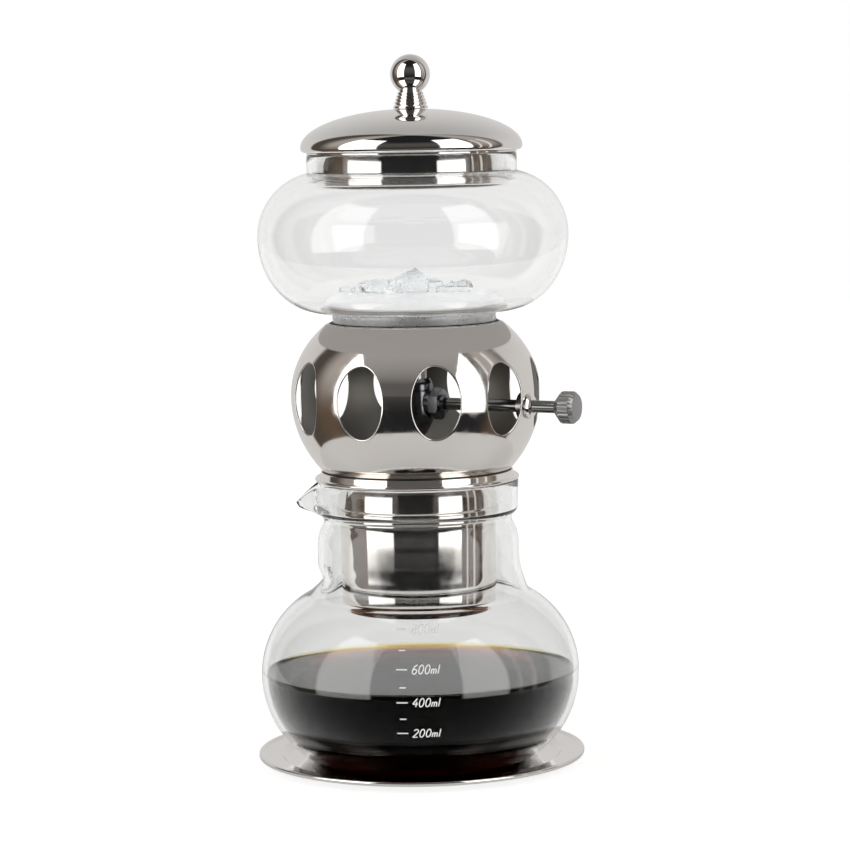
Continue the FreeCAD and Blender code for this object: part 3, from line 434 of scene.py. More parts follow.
def server():
    outside = server_outside()
    inside = offset(outside[1:], GLASS)
    inside = [(r, z) for r, z in inside if z > 3.35]
    rim = ellipse(((outside[-1][0] + inside[-1][0]) / 2, 125.0), (outside[-1][0] - inside[-1][0]) / 2, 1.0,
                  0, 180, 12)
    floor = [(inside[0][0] - 1.5, 3.3), (0, 3.3)]
    outline = outside + rim[1:-1] + inside[::-1] + floor
    carafe = lathe("server_glass", outline, SERVER_GLASS, "server_body", ["server"],
                   shape=server_shape, sharp=60)
    for material in (SERVER_UNDER_DIMMED, SERVER_WET, SERVER_LIP_DIMMED):
        carafe.data.materials.append(material)
    under, wet, lip = 1, 2, 3
    # The wet inside gets the glass without gloss; the lower outside and the lip get the copies whose dimmed
    # reflections are painted shade.
    for polygon in carafe.data.polygons:
        x, y, z = polygon.center / MM
        outward = polygon.normal.x * x + polygon.normal.y * y
        if z < COFFEE_Z and (outward < -1e-3 or polygon.normal.z > 0.5):
            polygon.material_index = wet
        elif z < SERVER_WIDEST_Z:
            polygon.material_index = under
        elif x < -44.5 and abs(y) < 17.0 and z > 108.0:
            polygon.material_index = lip
    return inside


def brewed_coffee(inside):
    """The coffee up to its level, with the small rise of the liquid at the glass."""
    wall = [(r - 0.05, z) for r, z in inside if z < COFFEE_Z - 0.5]
    edge = wall[-1][0]
    rise = [(edge + 0.02, COFFEE_Z + 1.6), (edge - 0.35, COFFEE_Z + 0.9), (edge - 1.0, COFFEE_Z + 0.35),
            (edge - 2.4, COFFEE_Z + 0.05), (edge - 5.0, COFFEE_Z)]
    outline = [(0, 3.4), (wall[0][0] - 1.5, 3.4)] + wall + smooth(rise, 14) + [(0, COFFEE_Z)]
    lathe("coffee", outline, COFFEE, "server_body", ["brewed_coffee"], sharp=50)


# ---- volume scale printed on the server ----
GLYPHS = {
    "0": [("arc", 0.30, 0.50, 0.26, 0.50, 0, 360)],
    "2": [("arc", 0.30, 0.72, 0.25, 0.28, 165, -35), ("line", 0.50, 0.56, 0.03, 0.0),
          ("line", 0.03, 0.0, 0.60, 0.0)],
    "4": [("line", 0.44, 1.0, 0.02, 0.34), ("line", 0.02, 0.34, 0.64, 0.34),
          ("line", 0.46, 0.62, 0.46, 0.0)],
    "6": [("arc", 0.58, 0.30, 0.52, 0.70, 95, 180), ("arc", 0.31, 0.27, 0.25, 0.27, 0, 360)],
    "8": [("arc", 0.30, 0.75, 0.21, 0.25, 0, 360), ("arc", 0.30, 0.25, 0.26, 0.25, 0, 360)],
    "m": [("line", 0.04, 0.0, 0.04, 0.5), ("arc", 0.18, 0.34, 0.14, 0.18, 180, 0),
          ("line", 0.32, 0.34, 0.32, 0.0), ("arc", 0.46, 0.34, 0.14, 0.18, 180, 0),
          ("line", 0.60, 0.34, 0.60, 0.0)],
    "l": [("line", 0.10, 0.0, 0.10, 1.0)],
}
GLYPH_WIDTHS = {"m": 0.78, "l": 0.30}
MARKS = [(25.0, "200ml"), (31.5, ""), (38.7, "400ml"), (45.1, ""), (52.6, "600ml"), (60.3, ""),
         (68.3, "800ml")]


def stroke_points(stroke):
    kind, *values = stroke
    if kind == "line":
        x0, y0, x1, y1 = values
        return [(x0 + (x1 - x0) * k / 6, y0 + (y1 - y0) * k / 6) for k in range(7)]
    x, y, a, b, start, end = values
    return ellipse((x, y), a, b, start, end, 25)


def volume_scale():
    """White ticks and numbers, as thin raised strokes of enamel that follow the glass."""
    outline = [(r, z) for r, z in server_outside() if z > 4]
    heights = [z for r, z in outline]
    radii = [r for r, z in outline]
    verts, faces = [], []

    def on_glass(across, height, proud):
        r = float(np.interp(height, heights, radii)) + proud
        t = across / r
        return server_shape(r * math.sin(t), -r * math.cos(t), height)

    def ribbon(points, width):
        """One stroke through points (distance to the right of the middle, height)."""
        p = np.array(points)
        closed = np.hypot(*(p[0] - p[-1])) < 1e-6
        way = np.gradient(p, axis=0)
        if closed:
            way[0] = way[-1] = p[1] - p[-2]
        way /= np.hypot(*way.T)[:, None]
        side = np.stack([-way[:, 1], way[:, 0]], axis=1) * width / 2
        first = len(verts)
        for here, out in zip(p, side):
            for (u, z), proud in ((here + out, 0.01), (here - out, 0.01),
                                  (here - out, 0.07), (here + out, 0.07)):
                verts.append(on_glass(u, z, proud))
        for k in range(len(p) - 1):
            a, b = first + 4 * k, first + 4 * (k + 1)
            for j in range(4):
                m = (j + 1) % 4
                faces.append([a + j, a + m, b + m, b + j])
        if not closed:
            last = first + 4 * (len(p) - 1)
            faces.append([first, first + 1, first + 2, first + 3])
            faces.append([last + 3, last + 2, last + 1, last])

    size, slant, pen = 3.6, 0.24, 0.46
    for height, text in MARKS:
        left, right = (-10.3, -5.5) if text else (-9.0, -6.2)
        ribbon([(left + (right - left) * k / 8, height) for k in range(9)], 0.5)
        pen_x = -3.8
        for letter in text:
            for stroke in GLYPHS[letter]:
                points = [(pen_x + (x + slant * y) * size, height + (y - 0.5) * size)
                          for x, y in stroke_points(stroke)]
                ribbon(points, pen)
            pen_x += GLYPH_WIDTHS.get(letter, 0.76) * size
    piece("volume_scale", verts, faces, ENAMEL, "server_body", sharp=60)


# ---- filter cup ----
def filter_cup():
    t = SHEET
    low = CUP_LOW
    pierced = 26.5            # radius of the part of the floor that is drilled
    outer = rounded([
        (0, low), (34.5, low, 4.0), (34.5, 110.2, 0.8), (36.1, 111.0, 0.9), (36.1, 114.2, 0.9),
        (35.4, 115.0, 0.8), (35.4, 126.0, 0.5), (45.4, 126.0, 1.0), (45.4, 128.2, 1.0),
        (43.2, 126.9, 0.6), (42.7, 130.3, 0.4), (41.9, 130.3, 0.3), (41.9, 128.4, 0.5), (34.6, 128.4, 0.8),
        (34.6, 115.3, 0.8), (35.3, 114.3, 0.8), (35.3, 111.4, 0.8), (33.7, 110.6, 0.8), (33.7, low + t, 3.2),
        (pierced, low + t, 0), (0, low + t)], 0.4, 6)
    outline = [outer[0], (pierced, low)] + outer[1:]
    cup = lathe("filter_cup_body", outline, CUP_STEEL, "filter_body", ["filter_cup"])
    verts, faces = [], []
    for x, y in hole_places(8.4, 3):
        drill = bmesh.new()
        bmesh.ops.create_cone(drill, cap_ends=True, segments=16, radius1=0.9, radius2=0.9, depth=4)
        base = len(verts)
        verts += [(v.co.x + x, v.co.y + y, v.co.z + low) for v in drill.verts]
        faces += [[base + v.index for v in f.verts] for f in drill.faces]
        drill.free()
    drills = piece("drills", verts, faces, CUP_STEEL, "filter_body")
    cut = cup.modifiers.new("holes", "BOOLEAN")
    cut.object = drills
    cut.solver = "EXACT"
    apply_modifiers(cup)
    bpy.data.objects.remove(drills)


def hole_places(pitch, rings):
    """Centres of holes on rings about the axis, six more on each ring than on the last."""
    places = [(0.0, 0.0)]
    for k in range(1, rings + 1):
        for i in range(6 * k):
            t = math.radians(60.0 / k * i)
            places.append((k * pitch * math.cos(t), k * pitch * math.sin(t)))
    return places


# ---- ball housing ----
def ball_point(turn, z, depth):
    """A point of the ball at azimuth turn from -Y, at the outside's height z.

    It is drawn in by depth along the normal."""
    half = BALL_UP if z > BALL_Z else BALL_DOWN
    share = (z - BALL_Z) / half
    r = BALL_R * math.sqrt(max(0.0, 1 - share * share))
    normal_r = r / BALL_R**2
    normal_z = (z - BALL_Z) / half**2
    length = math.hypot(normal_r, normal_z)
    r -= depth * normal_r / length
    z -= depth * normal_z / length
    t = math.radians(turn)
    return (r * math.sin(t), -r * math.cos(t), z)


def window_grid():
    """The frame of one window's sector, as points (azimuth offset in degrees, height).

    With it come its lowest and highest height, and the number of points on each of its sides."""
    half_turn = 180.0 / WINDOWS
    low, high = WINDOW_Z - 21.0, WINDOW_Z + 20.0
    side = 20
    frame_points = []
    for k in range(side):
        frame_points.append((half_turn, low + (high - low) * k / side))
    for k in range(side):
        frame_points.append((half_turn - 2 * half_turn * k / side, high))
    for k in range(side):
        frame_points.append((-half_turn, high - (high - low) * k / side))
    for k in range(side):
        frame_points.append((-half_turn + 2 * half_turn * k / side, low))
    return frame_points, low, high, side


def window_edge(turn_to, height_to, shrink):
    """The point of the window's oval that faces a point of the frame, with the oval shrunk by that much."""
    a, b = WINDOW_HALF[0] - shrink, WINDOW_HALF[1] - shrink
    r = BALL_R
    x = math.radians(turn_to) * r / a
    z = (height_to - WINDOW_Z) / b
    length = math.hypot(x, z)
    x, z = a * x / length, b * z / length
    height = WINDOW_Z + z
    half = BALL_UP if height > BALL_Z else BALL_DOWN
    radius = BALL_R * math.sqrt(1 - ((height - BALL_Z) / half) ** 2)
    return math.degrees(math.asin(x / radius)), height


def ball_housing():
    """The spun ball with its ten oval windows. Each window's edge is rounded over the sheet's thickness."""
    frame_points, low, high, side = window_grid()
    rings = 10
    verts, faces = [], []
    index = {}

    def vertex(turn, z, depth):
        place = ball_point(turn, z, depth)
        key = tuple(round(c, 4) for c in place)
        if key not in index:
            index[key] = len(verts)
            verts.append(place)
        return index[key]

    count = len(frame_points)
    for w in range(WINDOWS):
        turn = WINDOW_TURN + 360 / WINDOWS * w
        layers = []
        for depth in (0.0, SHEET):
            for j in range(rings + 1):
                share = (j / rings) ** 1.25
                ring = []
                for ft, fz in frame_points:
                    et, ez = window_edge(ft, fz, -SHEET / 2)
                    ring.append(vertex(turn + et + (ft - et) * share, ez + (fz - ez) * share, depth))
                layers.append(ring)
        outer, inner = layers[: rings + 1], layers[rings + 1:]
        rim = []
        for k in range(7):
            bend = math.pi / 2 - math.pi * k / 6
            ring = []
            for ft, fz in frame_points:
                et, ez = window_edge(ft, fz, -SHEET / 2 + SHEET / 2 * math.cos(bend))
                ring.append(vertex(turn + et, ez, SHEET / 2 * (1 - math.sin(bend))))
            rim.append(ring)
        order = outer[::-1] + rim[1:-1] + inner
        for a, b in zip(order, order[1:]):
            for k in range(count):
                m = (k + 1) % count
                faces.append([a[k], a[m], b[m], b[k]])
    columns = [WINDOW_TURN - 180 / WINDOWS + 360 / WINDOWS / side * k for k in range(WINDOWS * side)]
    crest = 195.6
    up = [high + (crest - high) * math.sin(math.pi / 2 * k / 16) for k in range(17)]
    down = [low - (low - BALL_LOW) * k / 12 for k in range(13)]
    for heights in (up, down):
        for depth in (0.0, SHEET):
            rows = [[vertex(t, z, depth) for t in columns] for z in heights]
            for a, b in zip(rows, rows[1:]):
                for k in range(len(columns)):
                    m = (k + 1) % len(columns)
                    faces.append([a[k], a[m], b[m], b[k]])

    def joint(z, route):
        """Closes the sheet's two sides round an edge at height z, through turned points (radius, height)."""
        rows = [[vertex(t, z, 0.0) for t in columns]]
        for r, height in route:
            row = []
            for t in columns:
                a = math.radians(t)
                row.append(len(verts))
                verts.append((r * math.sin(a), -r * math.cos(a), height))
            rows.append(row)
        rows.append([vertex(t, z, SHEET) for t in columns])
        for a, b in zip(rows, rows[1:]):
            for k in range(len(columns)):
                m = (k + 1) % len(columns)
                faces.append([a[k], a[m], b[m], b[k]])

    wall = 37.0
    seat = 193.1
    x, y, z = ball_point(0, crest, 0.0)
    top_r, top_z = -y, z
    x, y, z = ball_point(0, crest, SHEET)
    under_r, under_z = -y, z
    route = rounded([
        (top_r, top_z), (wall + 0.2, top_z + 0.75, 0.5), (wall, seat, 0.4), (31.0, seat, 0.2),
        (31.0, seat - SHEET, 0.2), (wall + SHEET, seat - SHEET, 0.4), (under_r, under_z)], 0.3, 5)
    joint(crest, route[1:-1])
    x, y, z = ball_point(0, BALL_LOW, 0.0)
    low_r = -y
    x, y, z = ball_point(0, BALL_LOW, SHEET)
    in_r, in_z = -y, z
    route = rounded([
        (low_r, BALL_LOW), (FLOOR_BORE_R, BALL_LOW, 0.2), (FLOOR_BORE_R, BALL_LOW + SHEET, 0.2),
        (in_r - 0.5, BALL_LOW + SHEET, 0.3), (in_r, in_z)], 0.2, 4)
    joint(BALL_LOW, route[1:-1])
    shell = piece("ball_shell", verts, faces, BALL_STEEL, "head_body", ["ball_housing"],
                  sharp=40)
    # The inside of the ball's sheet takes the dark steel: painted shade.
    shell.data.materials.append(INNER_SHADE)
    for polygon in shell.data.polygons:
        x, y, z = polygon.center / MM
        half = (BALL_UP if z > BALL_Z else BALL_DOWN) - SHEET * 0.75
        if math.hypot(math.hypot(x, y) / (BALL_R - SHEET * 0.75), (z - BALL_Z) / half) < 1:
            polygon.material_index = 1


# ---- tank ----
def tank_bend(lift):
    """The inside's curve from the belly down to the flat floor, raised by lift."""
    middle, belly = TANK_R - TANK_ROUND, TANK_Z - TANK_DOWN + TANK_WALL + lift
    floor = FLOOR_TOP + lift
    return smooth([(middle, belly), (34.9, (belly + floor) / 2), (29.9, floor)], 12, (-1, 0), (-1, 0))


def tank():
    centre = (TANK_R - TANK_ROUND, TANK_Z)
    mouth = TANK_MOUTH_R
    shoulder = math.degrees(math.acos((mouth - centre[0]) / TANK_ROUND))
    foot_in = TANK_FOOT_R - 2.8
    belly = TANK_Z - TANK_DOWN
    foot = [(foot_in, TANK_LOW), (TANK_FOOT_R, TANK_LOW, 0.8), (TANK_FOOT_R, belly - 0.1, 1.3),
            (centre[0], belly)]
    outside = (rounded(foot, 0.8) + ellipse(centre, TANK_ROUND, TANK_DOWN, -90, 0, 60)[1:]
               + ellipse(centre, TANK_ROUND, TANK_ROUND, 0, shoulder, 44)[1:])
    outside += [(mouth, 263.6), (mouth, 266.0), (mouth, TANK_TOP - 1.2)]
    rim = ellipse((mouth - 1.15, TANK_TOP - 1.15), 1.15, 1.15, 0, 180, 12)
    inner_r = mouth - 2.3
    inner = TANK_ROUND - TANK_WALL
    shoulder_in = math.degrees(math.acos((inner_r - centre[0]) / inner))
    inside = ([(inner_r, 266.0), (inner_r, 262.5)] + ellipse(centre, inner, inner, shoulder_in, 0, 44)
              + ellipse(centre, inner, TANK_DOWN - TANK_WALL, 0, -90, 60)[1:] + tank_bend(0)[1:]
              + [(5.2, FLOOR_TOP), (5.2, FLOOR_UNDER), (foot_in, FLOOR_UNDER)])
    globe = lathe("tank_globe", outside + rim[1:] + inside, TANK_GLASS, "head_body", ["tank"],
                  sharp=60)
    globe.data.materials.append(TANK_FROST)
    for polygon in globe.data.polygons:
        x, y, z = polygon.center / MM
        if math.hypot(x, y) < TANK_FOOT_R + 1.0 and z < belly + 0.5:
            polygon.material_index = 1


def tank_water():
    """Melt water full of slush, heaped over the drain in the tank's foot."""
    gap = 0.05
    bend = tank_bend(gap)[::-1]
    edge_r, edge_z = bend[-1]
    top = WATER_Z - 0.1
    heap = smooth([
        (edge_r - 0.3, edge_z + 0.2), (edge_r - 1.6, edge_z + 2.2), (34.5, top - 1.9), (28.0, top - 0.7),
        (14.0, top - 0.2), (0, top)], 48, (0.3, 1), (-1, 0))
    hollow = FLOOR_TOP + 3.7

    def lumpy(x, y, z):
        share = min(1.0, max(0.0, (z - edge_z - 0.4) / 2.0))
        lump = noise.fractal(Vector((x, y, z)) / 5.5, 0.8, 2.0, 4) - 0.45
        return x, y, min(WATER_Z - 0.02, z + share * 1.1 * lump)

    outline = [(8.9, bend[0][1])] + bend + heap[:-1] + [(0, top), (0, hollow), (8.9, hollow)]
    lathe("melt_water", outline, WATER, "head_body", ["tank_water"], shape=lumpy, sharp=70)


def ice_material():
    look = Look("ice", Base_Color=(0.96, 0.98, 1.0, 1), Roughness=0.06, IOR=1.31, Transmission_Weight=1.0)
    place = look.place()
    cracks = look.node("ShaderNodeTexVoronoi", {"Vector": place, "Scale": 160.0}, feature="DISTANCE_TO_EDGE")
    grain = look.node("ShaderNodeTexNoise", {"Vector": place, "Scale": 260.0, "Detail": 4.0})
    look.link(look.between(cracks.outputs["Distance"], 0.0, 0.12, 0.45, 0.06), "Roughness")
    rise = look.node("ShaderNodeBump", {"Height": grain.outputs["Fac"], "Distance": 0.0008, "Strength": 0.5})
    look.link(rise.outputs["Normal"], "Normal")
    return look.material


def shard(seed, length, width, height, shoulder):
    """A broken lump of ice: the hull of a jittered block.

    Its top leans together from its shoulder to a peak."""
    random = np.random.default_rng(seed)
    lump = bmesh.new()
    for x in (-1, 1):
        for y in (-1, 1):
            low = np.array((x, y, -1)) * (1 - 0.22 * random.random(3))
            high = np.array((x * 0.66, y * 0.66, shoulder)) * (1 + 0.45 * random.random(3))
            lump.verts.new(low * (1, 1, 0) + (0, 0, -1))
            lump.verts.new(np.clip(high, -1, 1))
    lump.verts.new((0.3 * random.random() + 0.05, 0.3 * random.random() - 0.15, 1.0))
    lump.verts.new((-0.5 * random.random(), -0.9, 0.2 * random.random()))
    hull = bmesh.ops.convex_hull(lump, input=lump.verts)
    spare = {v for v in hull["geom_interior"] + hull["geom_unused"] if isinstance(v, bmesh.types.BMVert)}
    bmesh.ops.delete(lump, geom=list(spare), context="VERTS")
    bmesh.ops.scale(lump, vec=(length / 2, width / 2, height / 2), verts=lump.verts)
    bmesh.ops.dissolve_limit(lump, angle_limit=math.radians(9), verts=lump.verts, edges=lump.edges)
    bmesh.ops.bevel(lump, geom=lump.edges[:], offset=0.35, segments=2, profile=0.6, affect="EDGES",
                    clamp_overlap=True)
    return lump


def ice_cubes():
    """Broken lumps of ice on the slush.

    Each is (x, y, length, width, height, turn, height of its shoulder from -1 to 1)."""
    lumps = [
        (-1.0, -13.0, 16.5, 13.0, 11.4, 12.0, 0.05), (-15.8, -15.0, 11.0, 9.0, 6.4, -18.0, 0.55),
        (17.0, -14.0, 17.0, 9.0, 4.4, 8.0, 0.1), (-24.6, -11.0, 6.0, 5.0, 3.4, 30.0, 0.4),
        (-30.0, -6.0, 5.5, 4.5, 2.6, -20.0, 0.4), (-9.0, 8.0, 12.0, 10.0, 5.6, -25.0, 0.3),
        (8.0, 9.0, 11.0, 12.0, 5.0, 15.0, 0.2), (21.0, 7.0, 9.0, 8.0, 4.0, 40.0, 0.5),
        (-21.0, 10.0, 9.0, 8.0, 4.2, 10.0, 0.3)]
    verts, faces = [], []
    for k, (x, y, length, width, height, turn, shoulder) in enumerate(lumps):
        lump = shard(30 + k, length, width, height, shoulder)
        place = Matrix.Translation((x, y, WATER_Z + height / 2)) @ Matrix.Rotation(math.radians(turn), 4, "Z")
        base = len(verts)
        lump.verts.index_update()
        verts += [tuple(place @ v.co) for v in lump.verts]
        faces += [[base + v.index for v in f.verts] for f in lump.faces]
        lump.free()
    piece("ice", verts, faces, ice_material(), "head_body", ["ice_cubes"], sharp=20)


# ---- lid ----
def lid():
    t = SHEET
    edge_z = LID_EDGE_Z
    rise = LID_TOP - edge_z
    floor = LID_LOW
    dome = ellipse((0, edge_z), LID_R, rise, 89.99, 0, 90)
    roll = edge_z - floor
    hem = ellipse((LID_R - roll, edge_z), roll, roll, 0, -90, 14)[1:]
    inner = ellipse((0, edge_z), LID_R - t, rise - t, 0, 89.99, 60)
    hem_in = ellipse((LID_R - roll, edge_z), roll - t, roll - t, -90, 0, 8)
    outline = dome + hem + [(43.3, floor), (43.3, floor + t)] + hem_in + inner[1:]
    lathe("lid_cover", outline, POLISHED, "lid_body", ["lid_dome"])
    top = SKIRT_TOP
    skirt = rounded([
        (42.3, 258.6), (42.3, top - t, 0.3), (SKIRT_R, top - t, 0.2), (SKIRT_R, top, 0.2), (41.5, top, 0.6),
        (41.5, 259.2)], 0.2, 4)
    outline = skirt + [(41.3, 258.9)] + ellipse((41.5, SKIRT_LOW + 0.8), 0.8, 0.8, 160, 380, 22)
    lathe("lid_sleeve", outline, POLISHED, "lid_body", ["lid_skirt"])


def finial():
    """The turned ball on its ribbed neck."""
    ball_z = FINIAL_TOP - FINIAL_R
    low = FINIAL_LOW
    neck = 5.2
    neck_z = ball_z - math.sqrt(FINIAL_R**2 - neck**2)
    ribs = [(0, low), (7.6, low, 0.3), (7.6, low + 1.0, 0.4), (6.7, low + 1.7, 0.2)]
    count = 4
    step = (neck_z - 0.6 - (low + 1.7)) / count
    for i in range(count):
        base = low + 1.7 + step * i
        r = 7.1 - 0.45 * i
        ribs += [(r, base + step * 0.3, 0.25), (r, base + step * 0.75, 0.25), (r - 0.75, base + step, 0.1)]
    ribs += [(neck, neck_z)]
    start = math.degrees(math.atan2(neck_z - ball_z, neck))
    outline = rounded(ribs, 0.2, 4) + ellipse((0, ball_z), FINIAL_R, FINIAL_R, start, 89.99, 60)[1:]
    lathe("finial", outline, POLISHED, "lid_body", ["lid_finial"], steps=96)


# ---- seals ----
def seals():
    low, high = span("base_seal")[1:]
    bore = FLOOR_BORE_R + 0.5
    outline = rounded([
        (FLOOR_BORE_R + 0.8, low), (41.8, low), (41.8, high, 0.25), (bore, high), (bore, low)], 0.2, 3)
    lathe("ball_seal", outline, BLACK, "head_body", ["base_seal"])
    foot = span("tank_foot_seal")
    outline = rounded([
        (31.6, foot[1]), (foot[0], foot[1], 0.2), (foot[0], foot[2], 0.2), (36.3, foot[2], 0.2),
        (36.3, 193.95), (31.6, 193.95), (31.5, foot[1])], 0.1, 3)
    lathe("foot_seal", outline, BLACK, "head_body", ["tank_foot_seal"])


# ---- valve ----
STEM_FRAME = Matrix.Translation((0, 0, STEM_Z)) @ Matrix.Rotation(math.radians(STEM_TURN - 90), 4, "Z")


def stem_lathe(name, outline, material, body, replaced=(), steps=64, groove=None, sharp=32):
    """Turns an outline of (distance along the stem, radius) about the stem.

    groove gives a radius at an angle."""
    verts = []
    rings = []
    for s, r in outline:
        if r < 1e-6:
            rings.append([len(verts)] * steps)
            verts.append(STEM_FRAME @ Vector((s, 0, 0)))
            continue
        ring = []
        for k in range(steps):
            t = 2 * math.pi * k / steps
            radius = groove(s, r, t) if groove else r
            ring.append(len(verts))
            verts.append(STEM_FRAME @ Vector((s, radius * math.cos(t), radius * math.sin(t))))
        rings.append(ring)
    return piece(name, verts, joined(rings, steps), material, body, replaced, sharp)


def valve():
    top, base = 171.0, 146.0
    belly = smooth([(4.6, base + 0.1), (7.2, base + 5.0), (8.2, 158.0), (7.6, top - 5.6)], 30)
    head = smooth([(7.5, top - 4.6), (7.3, top - 2.0), (6.2, top)], 14)
    barrel = [(0, base), (4.4, base)] + belly + [(7.1, top - 5.2), (7.1, top - 5.0)] + head + [(0, top)]
    lathe("valve_barrel", barrel, DARK, "head_body", ["valve_body"], steps=96, sharp=40)
    boss = [(4.0, 0), (4.0, 5.5), (11.4, 5.5), (11.4, 0)]
    stem_lathe("valve_boss", boss, DARK, "head_body")
    flats = 12.3

    def hexagon(s, r, t):
        edge = flats / 2 / math.cos((t + math.pi / 6) % (math.pi / 3) - math.pi / 6)
        return min(r, edge) if s < 13.5 else r

    nut = rounded([
        (8.9, 5.5), (8.9, 6.5, 0.1), (9.4, 7.15, 0.1), (12.9, 7.15, 0.1), (13.4, 6.5, 0.1), (13.4, 4.0),
        (15.2, 4.0, 0.3), (15.2, 2.8)], 0.1, 2)
    stem_lathe("packing_gland", nut, DARK, "head_body", ["packing_nut"], steps=96,
               groove=hexagon, sharp=24)
    stem = rounded([(7.1, 0), (7.1, 2.7, 0.2), (75.4, 2.7, 0.2), (75.4, 0)], 0.2, 3)
    stem_lathe("stem_rod", stem, STEM_STEEL, "knob_body", ["valve_stem"])
    wall = 55.38
    bush = rounded([
        (51.0, 2.8), (51.0, 4.0, 0.2), (wall - 0.5, 4.0), (wall - 0.5, 5.65), (wall + 0.6, 5.65, 0.5),
        (wall + 1.6, 4.6, 1.0), (wall + 2.0, 3.4, 0.5), (wall + 2.0, 2.8)], 0.2, 5)
    stem_lathe("stem_bushing", bush, POLISHED, "head_body", ["stem_bush"])


def knob():
    """The turned knob with its fine straight flutes."""
    start, end = 68.5, 78.0
    radius = 7.1
    flutes = 20

    def groove(s, r, t):
        if r < radius - 0.75 or s < start + 2.2:
            return r
        return r - 0.32 * (0.5 + 0.5 * math.cos(flutes * t)) ** 2

    outline = rounded([
        (start, 2.75), (start, 3.6, 0.2), (start + 2.4, 6.5, 0.3), (start + 3.0, radius, 0.2)], 0.2, 4)
    outline += [(start + 3.0 + 0.6 * k, radius) for k in range(1, 6)]
    outline += rounded([
        (end - 1.9, radius), (end - 1.6, radius, 0.15), (end, radius - 1.3, 0.2), (end, 0)], 0.2, 4)[1:]
    outline += [(start + 6.9, 0), (start + 6.9, 2.75)]
    stem_lathe("knob_grip", outline, KNOB, "knob_body", ["control_knob"], steps=240,
               groove=groove, sharp=25)


# ---- CAD nodes that stay, with their finish ----
def finish_kept_nodes():
    looks = {
        "filter_screen": MESH_STEEL, "spreader_plate": MACHINED, "bush_nut": MACHINED, "drain_tube": MACHINED,
        "drain_washer_upper": CLEAR, "drain_washer_lower": CLEAR, "drain_locknut": MACHINED,
        "drip_nozzle": MACHINED, "needle": MACHINED, "stem_packing": PTFE, "knob_grub_screw": MACHINED,
        "finial_washer": MACHINED, "finial_screw": MACHINED}
    for node, material in looks.items():
        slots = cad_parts[node].material_slots
        for slot in slots:
            slot.material = material


# ---- studio ----
GAP_LEFT, GAP_RIGHT = -35, 29                   # azimuths between which no soft box stands
PICTURE = 850             # width of the picture, in pixels
FOCAL = 3100              # the camera's focal length, in the same pixels
PITCH = 5.98              # how far the camera looks down, in degrees
ROLL = 1.0
CAMERA = (0.0039, -1.370, 0.2935)


